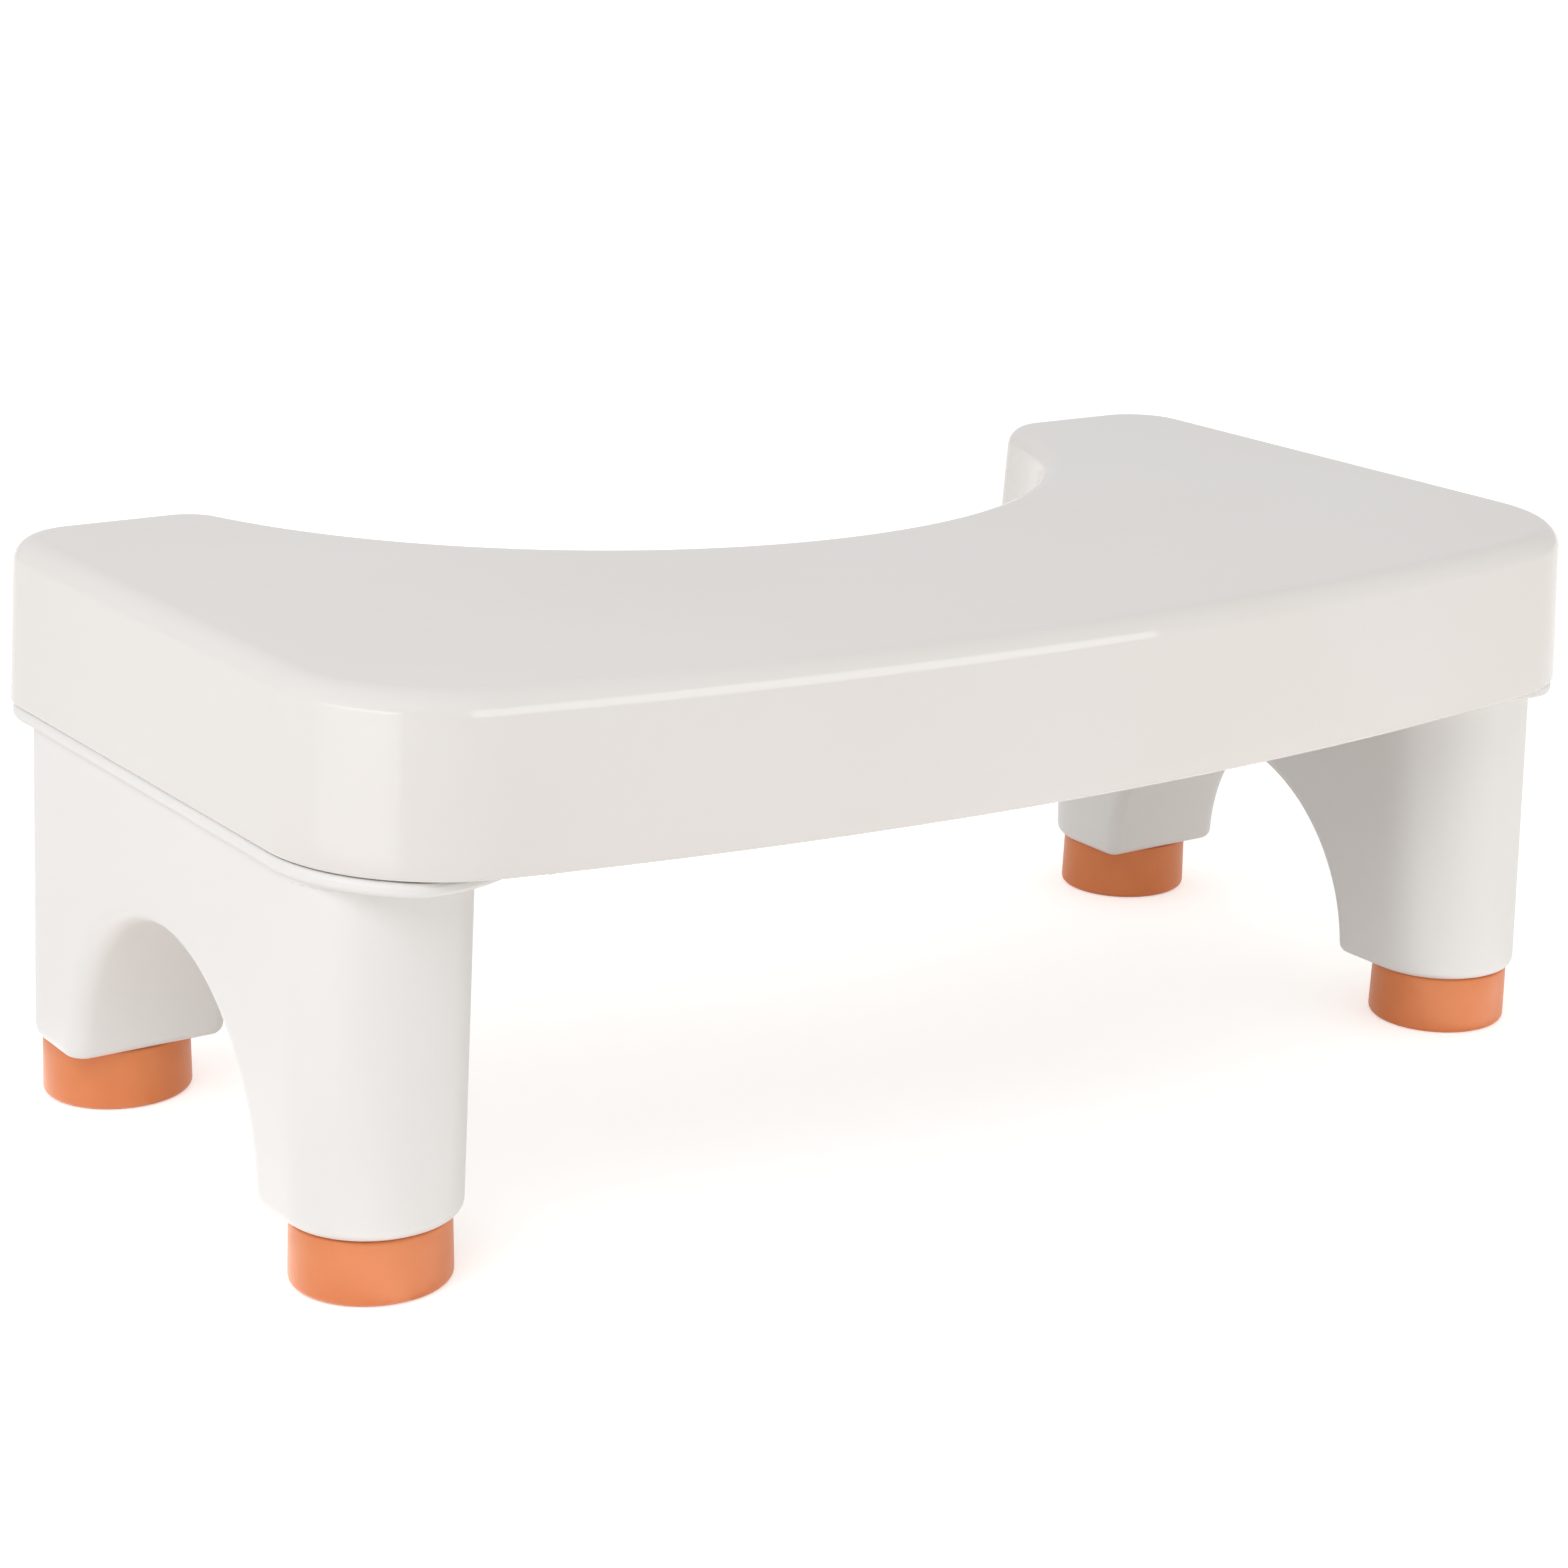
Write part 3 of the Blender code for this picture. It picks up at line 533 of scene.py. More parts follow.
CATCH_LEVEL = LIP_TOP + PLUG_HEIGHT * CATCH_LEVEL_SHARE
half_window = CATCH_WIDTH / 2 + CATCH_CLEARANCE
window_y = [FRAME_MIDDLE_Y + side * CATCH_SPACING / 2 + end
            for side in (-1, 1) for end in (-half_window, half_window)]
wall_z = np.array([LIP_TOP + FIT_GAP, CATCH_LEVEL - CATCH_CLEARANCE,
                   CATCH_LEVEL + CATCH_HEIGHT + CATCH_CLEARANCE, DECK_UNDERSIDE + RIB_SINK])
wall_y = np.stack([front_wall_y(socket_middle, wall_z), *[np.full(len(wall_z), y) for y in window_y],
                   BACK_LINE - rib_inset(wall_z)], axis=1)
socket_walls = []
for name, side in (("left_socket_wall", -1), ("right_socket_wall", 1)):
    points, faces = pierced_wall((side * SOCKET_INNER, side * SOCKET_OUTER), wall_y, wall_z, [(1, 1), (1, 3)])
    wall = make_piece(name, points, faces)
    round_edges(wall, RIB_EDGE_ROUND / 2)
    socket_walls.append(wall)
print("Windows at", [round(y, 4) for y in window_y])

# %% [markdown]
# ## Leg frames
#
# A leg frame is a rounded block with an arch through it. The two legs are like half rounds, flat towards
# the arch, and the edge of the arch is broadly rounded on the outside and a little less on the inside.
# A Boolean would cut the arch, but rounding the cut edge afterwards often tears. Here the surface is
# carried along the arch instead. At each step round the arch a ray leaves it at a right angle and ends
# at the block's edge, and a closed ring of points runs out along that ray on the outer face and back on
# the inner face. The rings are drawn close together where the block's round ends begin.

# %% Leg frames
ARCH_STEPS = 160
FACE_STEPS = 46
ROUND_STEPS = 12
TUNNEL_STEPS = 8
BOTTOM_STEPS = 7
TRIED_STEPS = 4000
FADE_IN = 0.35
NEARLY_LEVEL = 1e-9


def face_offset(y, height, inset):
    """How far each face stands from the middle: flat, and a quarter circle at both round ends."""
    _, half_width, half_length = frame_section(height)
    radius = FRAME_CORNER_RADIUS - inset
    past = np.clip(np.abs(y) - (half_length - inset - radius), 0, radius)
    return half_width - inset - radius + np.sqrt(radius**2 - past**2)


def ray_length(start_y, start_z, lean, inset):
    """From the arch to the block's end or to its top, whichever the ray meets first."""
    slope = FRAME_END_SPLAY / (LIP_TOP - LEG_BOTTOM_HEIGHT)
    end = FRAME_LENGTH / 2 - inset - slope * (start_z - LEG_BOTTOM_HEIGHT) - abs(start_y)
    to_end = end / (abs(math.cos(lean)) + slope * math.sin(lean))
    to_top = (LIP_BOTTOM + LIP_THICKNESS / 2 - start_z) / max(math.sin(lean), NEARLY_LEVEL)
    return to_end, to_top


def frame_ring(start_y, start_z, lean, inset):
    """One ring: rounded outer edge, outer face, end, inner face, rounded inner edge, and the arch's own
    surface. The inner edge keeps at least a fifth of its radius."""
    length = min(ray_length(start_y, start_z, lean, inset))
    outer_round = ARCH_OUTER_ROUND - inset
    inner_round = max(ARCH_INNER_ROUND - inset, ARCH_INNER_ROUND / 5)
    turns = quarter(ROUND_STEPS)
    run = np.sin(np.linspace(0, math.pi / 2, FACE_STEPS))[1:]

    def side(sign, radius):
        """One face's points, from the arch's rounded edge to the end of the ray."""
        out = np.concatenate([radius * (1 - np.cos(turns)), radius + (length - radius) * run])
        depth = np.concatenate([radius * (1 - np.sin(turns)), np.zeros(len(run))])
        y, z = start_y - out * math.cos(lean), start_z + out * math.sin(lean)
        x = frame_section(z)[0] + sign * (face_offset(y, z, inset) - depth)
        return np.stack([x, y + FRAME_MIDDLE_Y, z], axis=-1)

    outer, inner = side(1, outer_round), side(-1, inner_round)[::-1]
    tunnel = inner[-1] + (outer[0] - inner[-1]) * np.linspace(0, 1, TUNNEL_STEPS)[1:-1, None]
    return np.concatenate([outer, inner, tunnel])


def frame_grid():
    """All the rings of the right-hand frame, from the front leg's bottom over the arch to the rear leg's.
    One ring stands just where the rays change from meeting the block's end to meeting its top."""
    first = math.asin(LEG_BOTTOM_ROUND / ARCH_HEIGHT)
    tried = np.linspace(first, math.pi / 2, TRIED_STEPS)
    start = [(-ARCH_WIDTH / 2 * math.cos(t), LEG_BOTTOM_HEIGHT + ARCH_HEIGHT * math.sin(t)) for t in tried]

    def lean_of(turn):
        """The ray's lean: at a right angle to the arch, and fading to level at the leg's bottom."""
        normal = math.atan2(math.sin(turn) / ARCH_HEIGHT, math.cos(turn) / (ARCH_WIDTH / 2))
        fade = min((turn - first) / FADE_IN, 1)
        return normal * fade**2 * (3 - 2 * fade)

    gaps = [np.subtract(*ray_length(y, z, lean_of(t), 0)) for (y, z), t in zip(start, tried)]
    corner = float(np.interp(0, gaps, tried))
    half = np.sort(np.append(np.linspace(first, math.pi / 2, ARCH_STEPS // 2), corner))
    foot = []
    for t in quarter(BOTTOM_STEPS)[:-1]:
        inset, height = LEG_BOTTOM_ROUND * (1 - math.sin(t)), LEG_BOTTOM_ROUND * (1 - math.cos(t))
        y = -ARCH_WIDTH / 2 * math.sqrt(1 - (height / ARCH_HEIGHT) ** 2) - inset
        foot.append((y, LEG_BOTTOM_HEIGHT + height, 0.0, inset))
    arch = [(-ARCH_WIDTH / 2 * math.cos(t), LEG_BOTTOM_HEIGHT + ARCH_HEIGHT * math.sin(t), lean_of(t), 0.0)
            for t in half]
    front = foot + arch
    rear = [(-y, z, math.pi - lean, inset) for y, z, lean, inset in front[-2::-1]]
    return np.stack([frame_ring(*ring) for ring in front + rear])


right_grid = frame_grid()
leg_skins = both_sides("leg_skin", right_grid, closed_surface(right_grid))
print("Leg frame:", right_grid.shape[:2], "rows and columns, lowest at", right_grid[..., 2].min().round(4))

# %% [markdown]
# ## The lip under the skirt
#
# Where a leg frame meets the deck it has a thin flange. It shows as a pale rounded band under the skirt's
# dark seam, and it reaches under the deck on the inner side. Its edge follows the deck's own edge round
# the end and the corner, and the frame's grown outline elsewhere. The two outlines could be cut with
# each other as flat shapes. Measured as distances from the frame's middle, though, the flange's edge is
# just the smaller of the two at each angle, with a soft change where they cross. A low tongue on it
# stands up into the seam, which then shows as a thin dark line, and sinks towards the front corner,
# where the seam opens.

# %% Lip
LIP_STEPS = 720
LIP_BLEND = 0.0012
LIP_ROUND_STEPS = 8
LIP_FILLET_STEPS = 6
LIP_HOLE_SHARE = 0.9
FINE_STEPS = 6000
TONGUE_SETBACK = 0.0003
TONGUE_FADE = 0.0100
TONGUE_REACH = 0.0060
SEAM_CONTACT = 0.0001
SEAM_OPENING = 0.0004
SEAM_OPENS_AT = -0.030
SEAM_FADE = 0.030
angles = np.linspace(-math.pi, math.pi, LIP_STEPS, endpoint=False)


def distance_round(points):
    """Distance from the frame's middle to an outline, for each angle. The outline is first divided finely."""
    loop = np.concatenate([points, points[:1]])
    along = np.concatenate([[0], np.cumsum(np.hypot(*np.diff(loop, axis=0).T))])
    fine = np.linspace(0, along[-1], FINE_STEPS)
    x = np.interp(fine, along, loop[:, 0]) - lip_x
    y = np.interp(fine, along, loop[:, 1]) - FRAME_MIDDLE_Y
    order = np.argsort(np.arctan2(y, x))
    return np.interp(angles, np.arctan2(y, x)[order], np.hypot(x, y)[order], period=2 * math.pi)


def oblong(height, grow):
    """The frame's rounded-oblong outline at a height, grown all round."""
    middle, half_width, half_length = frame_section(height)
    radius = FRAME_CORNER_RADIUS + grow
    dx, dy = half_width + grow - radius, half_length + grow - radius
    turned = ((1, 1, 0), (-1, 1, math.pi / 2), (-1, -1, math.pi), (1, -1, 1.5 * math.pi))
    return np.concatenate([
        arc((middle + sx * dx, FRAME_MIDDLE_Y + sy * dy), radius, start, start + math.pi / 2, CORNER_STEPS)
        for sx, sy, start in turned])


def lip_ring(distance, height):
    """One row of the flange: a distance from its middle, and a height, at each angle."""
    return np.stack([lip_x + distance * np.cos(angles), FRAME_MIDDLE_Y + distance * np.sin(angles),
                     height * np.ones(LIP_STEPS)], axis=-1)


wing = deck_outline(LIP_INSET)
grown = distance_round(oblong(LIP_TOP, LIP_REACH))
limit = distance_round(wing[wing[:, 0] > DECK_LENGTH / 4])
edge = (grown + limit - np.sqrt((grown - limit) ** 2 + LIP_BLEND**2)) / 2
edge_slope = (np.roll(edge, -1) - np.roll(edge, 1)) / (2 * (angles[1] - angles[0]))
stretch = np.sqrt(1 + (edge_slope / edge) ** 2)

opening = np.clip((SEAM_OPENS_AT - FRAME_MIDDLE_Y - edge * np.sin(angles)) / SEAM_FADE, 0, 1)
tongue_rise = SEAM_GAP - SEAM_CONTACT - SEAM_OPENING * opening
tongue = LIP_TOP + tongue_rise * np.clip((grown - limit + TONGUE_REACH) / TONGUE_FADE, 0, 1)
inner = edge - TONGUE_SETBACK * stretch
top_turns = np.linspace(math.asin(1 - TONGUE_SETBACK / LIP_TOP_ROUND), math.pi / 2, LIP_ROUND_STEPS)
lip_rows = [lip_ring(inner - DECK_WALL / 2, tongue), lip_ring(inner, tongue)]
lip_rows += [lip_ring(edge - LIP_TOP_ROUND * (1 - math.sin(t)) * stretch,
                      LIP_TOP - LIP_TOP_ROUND * (1 - math.cos(t))) for t in top_turns]
lip_rows += [lip_ring(edge - LIP_BOTTOM_ROUND * (1 - math.cos(t)) * stretch,
                      LIP_BOTTOM + LIP_BOTTOM_ROUND * (1 - math.sin(t))) for t in quarter(LIP_ROUND_STEPS)]
leg_edge = np.minimum(distance_round(oblong(LIP_BOTTOM, LIP_FILLET)), edge - LIP_BOTTOM_ROUND * stretch)
inner_edge = distance_round(oblong(LIP_BOTTOM, 0))
for t in quarter(LIP_FILLET_STEPS):
    level = LIP_BOTTOM - LIP_FILLET * (1 - math.cos(t))
    lip_rows.append(lip_ring(leg_edge + (inner_edge - leg_edge) * math.sin(t), level))
lip_rows.append(lip_ring(inner_edge * LIP_HOLE_SHARE, LIP_BOTTOM - LIP_FILLET))
lip_grid = np.stack(lip_rows)
lips = both_sides("lip", lip_grid, closed_surface(lip_grid))
print("Lip reaches from x", lip_grid[..., 0].min().round(4), "to", lip_grid[..., 0].max().round(4))

# %% [markdown]
# ## Plugs and catches
#
# Above the lip each frame goes on as a thin-walled plug. It is hidden once the stool is together, but
# through the windows in the socket walls one can see it and the barbs of its catches, so both are made.
# The plug is a tube: its outline goes up the outside, over a rounded rim and down the inside. A barb is
# a wedge that slides in easily and won't come out, with every edge softened by a small bevel.

# %% Plugs and catches
PLUG_RIM = PLUG_WALL / 2
RIM_STEPS = 11


def plug_ring(grow, height):
    """One row of the plug: the frame's outline at the lip, grown all round, at a height."""
    plan = oblong(LIP_TOP, grow)
    return np.column_stack([plan, np.full(len(plan), height)])


plug_rows = [plug_ring(-PLUG_STEP, LIP_TOP - LIP_THICKNESS / 2)]
plug_rows += [plug_ring(-PLUG_STEP - PLUG_RIM * (1 - math.cos(t)), PLUG_TOP - PLUG_RIM * (1 - math.sin(t)))
              for t in np.linspace(0, math.pi, RIM_STEPS)]
plug_rows.append(plug_ring(-PLUG_STEP - PLUG_WALL, LIP_TOP - LIP_THICKNESS / 2))
plug_grid = np.stack(plug_rows)
plugs = both_sides("plug", plug_grid, grid_faces(*plug_grid.shape[:2], wrap_rows=True))

plug_face = lip_x - lip_half_width + PLUG_STEP
wedge = np.array([
    [plug_face - CATCH_REACH, CATCH_LEVEL], [plug_face + PLUG_WALL / 2, CATCH_LEVEL],
    [plug_face + PLUG_WALL / 2, CATCH_LEVEL + CATCH_HEIGHT], [plug_face, CATCH_LEVEL + CATCH_HEIGHT],
    [plug_face - CATCH_REACH, CATCH_LEVEL + CATCH_HEIGHT / 3]])


def barb_grid(y, side):
    """The wedge's outline at both ends of the barb's width."""
    return np.stack([np.column_stack([side * wedge[:, 0], np.full(len(wedge), end), wedge[:, 1]])
                     for end in (y - CATCH_WIDTH / 2, y + CATCH_WIDTH / 2)])


catches = []
for name, side in (("left_catches", -1), ("right_catches", 1)):
    grids = [barb_grid(FRAME_MIDDLE_Y + end * CATCH_SPACING / 2, side) for end in (-1, 1)]
    piece = make_piece(name, *join_grids(grids))
    round_edges(piece, RIB_EDGE_ROUND / 2)
    catches.append(piece)
print("Barbs reach", CATCH_REACH * 1000, "mm into their windows")

# %% [markdown]
# ## Rubber feet
#
# Each foot is a press-on cup of orange rubber. It is slightly wider than it is deep, its side spreads a
# little towards the floor, and a ring groove in its sole lets water out so that it grips. A turned shape
# is the natural choice: a profile of radius and height goes round the middle and is then widened.

# %% Feet
FOOT_COLUMNS = 128
FOOT_ROUND_STEPS = 6
SMALL_ROUND = 0.0003
SIDE_SHARES = (0.25, 0.5, 0.75)
foot_top = LEG_BOTTOM_HEIGHT - FIT_GAP
foot_radius = FOOT_DEPTH / 2
upper = foot_radius - FOOT_FLARE


def corner_round(radius_at, height_at, size, start):
    """A quarter circle in the profile, about a middle that lies a corner's size from both sides."""
    turns = start - quarter(FOOT_ROUND_STEPS)
    return [[radius_at + size * math.cos(t), height_at + size * math.sin(t)] for t in turns]


def foot_profile():
    """Radius and height from the top edge down the side and across the sole to its middle."""
    outside, inside = GROOVE_RADIUS + GROOVE_WIDTH / 2, GROOVE_RADIUS - GROOVE_WIDTH / 2
    rows = [[upper / 2, foot_top]]
    rows += corner_round(upper - FOOT_TOP_ROUND, foot_top - FOOT_TOP_ROUND, FOOT_TOP_ROUND, math.pi / 2)
    rows += [[upper + FOOT_FLARE * share, foot_top * (1 - share) + FOOT_BOTTOM_ROUND * share]
             for share in SIDE_SHARES]
    rows += corner_round(foot_radius - FOOT_BOTTOM_ROUND, FOOT_BOTTOM_ROUND, FOOT_BOTTOM_ROUND, 0)
    rows += [[outside + SMALL_ROUND, 0], [outside, SMALL_ROUND]]
    rows += [[outside - SMALL_ROUND, GROOVE_DEPTH], [inside + SMALL_ROUND, GROOVE_DEPTH]]
    rows += [[inside, SMALL_ROUND], [inside - SMALL_ROUND, 0], [GROOVE_RADIUS / 3, 0]]
    return np.array(rows)


around = np.linspace(0, 2 * math.pi, FOOT_COLUMNS, endpoint=False)
foot_radii, foot_heights = foot_profile().T
foot_grid = np.stack([
    np.outer(foot_radii, np.cos(around)) * FOOT_WIDTH / FOOT_DEPTH,
    np.outer(foot_radii, np.sin(around)),
    np.repeat(foot_heights[:, None], FOOT_COLUMNS, 1)], axis=-1)
foot_x = float(frame_section(0)[0])
feet = {}
for end, reach in (("front", -LEG_REACH), ("rear", LEG_REACH)):
    for side, sign in (("left", -1), ("right", 1)):
        place = (sign * foot_x, FRAME_MIDDLE_Y + reach, 0)
        node = f"{end}_{side}_foot"
        feet[node] = make_piece(f"{end}_{side}_rubber", foot_grid + place, closed_surface(foot_grid))
print("Feet stand at x", round(foot_x, 4), "and", round(LEG_REACH, 4), "from y", round(FRAME_MIDDLE_Y, 4))

# %% [markdown]
# ## Node helpers
#
# The finishes are node trees, and a tree is easier to read when each node is one line. A helper adds a
# node, sets its options, and then either links each named input to another node or sets its value.


# %% Node helpers
def feed(tree, socket, value):
    """Links a node's output into a socket, or sets the socket to a value."""
    if isinstance(value, bpy.types.NodeSocket):
        tree.links.new(value, socket)
    else:
        socket.default_value = value


def add(tree, kind, inputs=None, **options):
    """Adds a node to a tree, with its options and with outputs or values fed into its inputs by name."""
    made = tree.nodes.new(kind)
    for name, value in options.items():
        setattr(made, name, value)
    for name, value in (inputs or {}).items():
        feed(tree, made.inputs[name], value)
    return made


def new_group(name, usual_scale, *results):
    """A shader node group that takes coordinates and a scale, and puts out named values."""
    group = bpy.data.node_groups.new(name, "ShaderNodeTree")
    group.interface.new_socket("Vector", in_out="INPUT", socket_type="NodeSocketVector")
    scale = group.interface.new_socket("Scale", in_out="INPUT", socket_type="NodeSocketFloat")
    scale.default_value = usual_scale
    for label in results:
        group.interface.new_socket(label, in_out="OUTPUT", socket_type="NodeSocketFloat")
    given = group.nodes.new("NodeGroupInput").outputs
    return group, given["Vector"], given["Scale"], group.nodes.new("NodeGroupOutput").inputs


def place_group(tree, group, **inputs):
    """Places a shared group in a material's tree, with its inputs by their names."""
    return add(tree, "ShaderNodeGroup", inputs, node_tree=group)


def blank_material(name):
    """A material with an empty node tree."""
    material = bpy.data.materials.new(name)
    material.use_nodes = True
    material.node_tree.nodes.clear()
    return material, material.node_tree


# %% [markdown]
# ## Three effects that moulded parts share
#
# Plastic and rubber parts out of a mould are never one even tone. The colour drifts a little where the
# material flowed (soft patches), the mould leaves a fine grain, and handling leaves faint smudges that
# only change how sharp a reflection is. Each could be drawn on an image, but noise worked out in object
# space has no seams and stays sharp at any distance. Each is a group, built once for all finishes.

# %% Shared effects
soft_patches, vector, scale, result = new_group("soft_patches", 12.0, "Mask")
cloud = add(soft_patches, "ShaderNodeTexNoise", {
    "Vector": vector, "Scale": scale, "Detail": 2.0, "Roughness": 0.45})
spread = add(soft_patches, "ShaderNodeMapRange", {
    "Value": cloud.outputs["Fac"], "From Min": 0.3, "From Max": 0.7}, interpolation_type="SMOOTHSTEP")
feed(soft_patches, result["Mask"], spread.outputs["Result"])

mould_grain, vector, scale, result = new_group("mould_grain", 900.0, "Height", "Mask")
pebbles = add(mould_grain, "ShaderNodeTexVoronoi", {
    "Vector": vector, "Scale": scale, "Smoothness": 1.0}, feature="SMOOTH_F1")
dust = add(mould_grain, "ShaderNodeTexNoise", {
    "Vector": vector, "Scale": scale, "Detail": 3.0, "Roughness": 0.6})
grain = add(mould_grain, "ShaderNodeMix", {
    "Factor": 0.5, "A": pebbles.outputs["Distance"], "B": dust.outputs["Fac"]})
feed(mould_grain, result["Height"], grain.outputs["Result"])
feed(mould_grain, result["Mask"], dust.outputs["Fac"])

handling, vector, scale, result = new_group("handling", 30.0, "Smudges")
smear = add(handling, "ShaderNodeMapping", {
    "Vector": vector, "Rotation": (0.4, 0.3, 0.7), "Scale": (1.0, 0.45, 1.0)})
wipe = add(handling, "ShaderNodeTexNoise", {
    "Vector": smear.outputs["Vector"], "Scale": scale, "Detail": 4.0, "Roughness": 0.6, "Distortion": 0.5})
smudge = add(handling, "ShaderNodeMapRange", {
    "Value": wipe.outputs["Fac"], "From Min": 0.5, "From Max": 0.75}, interpolation_type="SMOOTHSTEP")
feed(handling, result["Smudges"], smudge.outputs["Result"])
print("Shared effects:", ", ".join(group.name for group in (soft_patches, mould_grain, handling)))

# %% [markdown]
# ## Finishes
#
# The deck comes from a polished mould: warm off-white, glossy, with a very slight waviness that the long
# highlights show. The legs are the same plastic from a finely textured mould, so they are a little
# lighter and almost matt. The feet are orange rubber with a pebbled skin. Roughness is the main choice
# here. All three are Principled materials, and only their small changes come from the shared groups.


# %% Material helpers
SPECULAR_LEVEL = 0.40
REFRACTION = 1.5


def start_material(name, roughness):
    """A Principled material and the object's own coordinates to work its patterns out from."""
    material, tree = blank_material(name)
    surface = add(tree, "ShaderNodeBsdfPrincipled", {
        "Roughness": roughness, "IOR": REFRACTION, "Specular IOR Level": SPECULAR_LEVEL})
    add(tree, "ShaderNodeOutputMaterial", {"Surface": surface.outputs["BSDF"]})
    return material, tree, surface, add(tree, "ShaderNodeTexCoord").outputs["Object"]


def mix_colours(tree, mask, first, second):
    """Goes from the first colour to the second as the mask rises."""
    blend = add(tree, "ShaderNodeMix", {"Factor": mask}, data_type="RGBA")
    low, high = [socket for socket in blend.inputs if socket.type == "RGBA"]
    feed(tree, low, first)
    feed(tree, high, second)
    return next(socket for socket in blend.outputs if socket.type == "RGBA")


def vary(tree, mask, low, high):
    """Turns a mask into a value between two limits."""
    return add(tree, "ShaderNodeMapRange", {"Value": mask, "To Min": low, "To Max": high}).outputs["Result"]


def raised(tree, height, depth):
    """A Bump node's normal, whose depth is in metres."""
    bump = add(tree, "ShaderNodeBump", {"Height": height, "Distance": depth, "Strength": 1.0})
    return bump.outputs["Normal"]


def finish_surface(tree, surface, colour, roughness, normal):
    """Feeds what changes over the surface into the shader."""
    for label, value in (("Base Color", colour), ("Roughness", roughness), ("Normal", normal)):
        feed(tree, surface.inputs[label], value)


# %% Deck plastic
DECK_COLOUR, DECK_COLOUR_DEEP = (0.830, 0.793, 0.756, 1), (0.816, 0.775, 0.733, 1)
DECK_ROUGHNESS, DECK_DULLED = 0.12, 0.18
DECK_PATCH_SCALE, DECK_SMUDGE_SCALE, DECK_WAVE_SCALE = 9.0, 26.0, 42.0
DECK_WAVE_DEPTH = 0.000025


def gloss_deck():
    """Polished plastic: a slow drift of tone, smudges that dull the reflection, and a slight waviness."""
    material, tree, surface, place = start_material("gloss_deck_plastic", DECK_ROUGHNESS)
    patches = place_group(tree, soft_patches, Vector=place, Scale=DECK_PATCH_SCALE).outputs["Mask"]
    smudges = place_group(tree, handling, Vector=place, Scale=DECK_SMUDGE_SCALE).outputs["Smudges"]
    wave = place_group(tree, soft_patches, Vector=place, Scale=DECK_WAVE_SCALE).outputs["Mask"]
    colour = mix_colours(tree, patches, DECK_COLOUR, DECK_COLOUR_DEEP)
    roughness = vary(tree, smudges, DECK_ROUGHNESS, DECK_DULLED)
    finish_surface(tree, surface, colour, roughness, raised(tree, wave, DECK_WAVE_DEPTH))
    return material


# %% Leg plastic
LEG_COLOUR, LEG_COLOUR_DEEP = (0.874, 0.854, 0.833, 1), (0.862, 0.838, 0.810, 1)
LEG_ROUGHNESS, LEG_DULLED = 0.42, 0.49
LEG_PATCH_SCALE, LEG_SMUDGE_SCALE, LEG_GRAIN_SCALE = 11.0, 34.0, 1400.0
LEG_GRAIN_DEPTH = 0.00003


def satin_legs():
    """Textured plastic: a fine grain breaks up the highlight, and the tone drifts as on the deck."""
    material, tree, surface, place = start_material("satin_leg_plastic", LEG_ROUGHNESS)
    patches = place_group(tree, soft_patches, Vector=place, Scale=LEG_PATCH_SCALE).outputs["Mask"]
    smudges = place_group(tree, handling, Vector=place, Scale=LEG_SMUDGE_SCALE).outputs["Smudges"]
    skin = place_group(tree, mould_grain, Vector=place, Scale=LEG_GRAIN_SCALE).outputs["Height"]
    colour = mix_colours(tree, patches, LEG_COLOUR, LEG_COLOUR_DEEP)
    roughness = vary(tree, smudges, LEG_ROUGHNESS, LEG_DULLED)
    finish_surface(tree, surface, colour, roughness, raised(tree, skin, LEG_GRAIN_DEPTH))
    return material


# %% Rubber
RUBBER_COLOUR, RUBBER_COLOUR_DEEP = (0.775, 0.236, 0.076, 1), (0.745, 0.214, 0.062, 1)
RUBBER_BLOOM, BLOOM_SHARE = (0.810, 0.300, 0.130, 1), 0.16
RUBBER_ROUGHNESS, RUBBER_DULLED = 0.40, 0.50
RUBBER_PATCH_SCALE, RUBBER_SMUDGE_SCALE, RUBBER_GRAIN_SCALE = 70.0, 80.0, 1100.0
RUBBER_GRAIN_DEPTH = 0.00006


def orange_feet():
    """Moulded rubber: a pebbled skin, small changes of colour, and a paler bloom on the raised grain."""
    material, tree, surface, place = start_material("orange_rubber", RUBBER_ROUGHNESS)
    patches = place_group(tree, soft_patches, Vector=place, Scale=RUBBER_PATCH_SCALE).outputs["Mask"]
    smudges = place_group(tree, handling, Vector=place, Scale=RUBBER_SMUDGE_SCALE).outputs["Smudges"]
    skin = place_group(tree, mould_grain, Vector=place, Scale=RUBBER_GRAIN_SCALE).outputs
    drift = mix_colours(tree, patches, RUBBER_COLOUR, RUBBER_COLOUR_DEEP)
    colour = mix_colours(tree, vary(tree, skin["Mask"], 0.0, BLOOM_SHARE), drift, RUBBER_BLOOM)
    roughness = vary(tree, smudges, RUBBER_ROUGHNESS, RUBBER_DULLED)
    finish_surface(tree, surface, colour, roughness, raised(tree, skin["Height"], RUBBER_GRAIN_DEPTH))
    return material


# %% Dress the pieces
dressed = {
    "gloss_deck_plastic": (gloss_deck(), [deck_skin, deck_ribs, *socket_walls]),
    "satin_leg_plastic": (satin_legs(), [*leg_skins, *lips, *plugs, *catches]),
    "orange_rubber": (orange_feet(), list(feet.values())),
}
for slot, (finish, pieces) in dressed.items():
    for piece in pieces:
        piece.data.materials.append(finish)
        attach(piece, "root")
print({slot: len(pieces) for slot, (_, pieces) in dressed.items()})
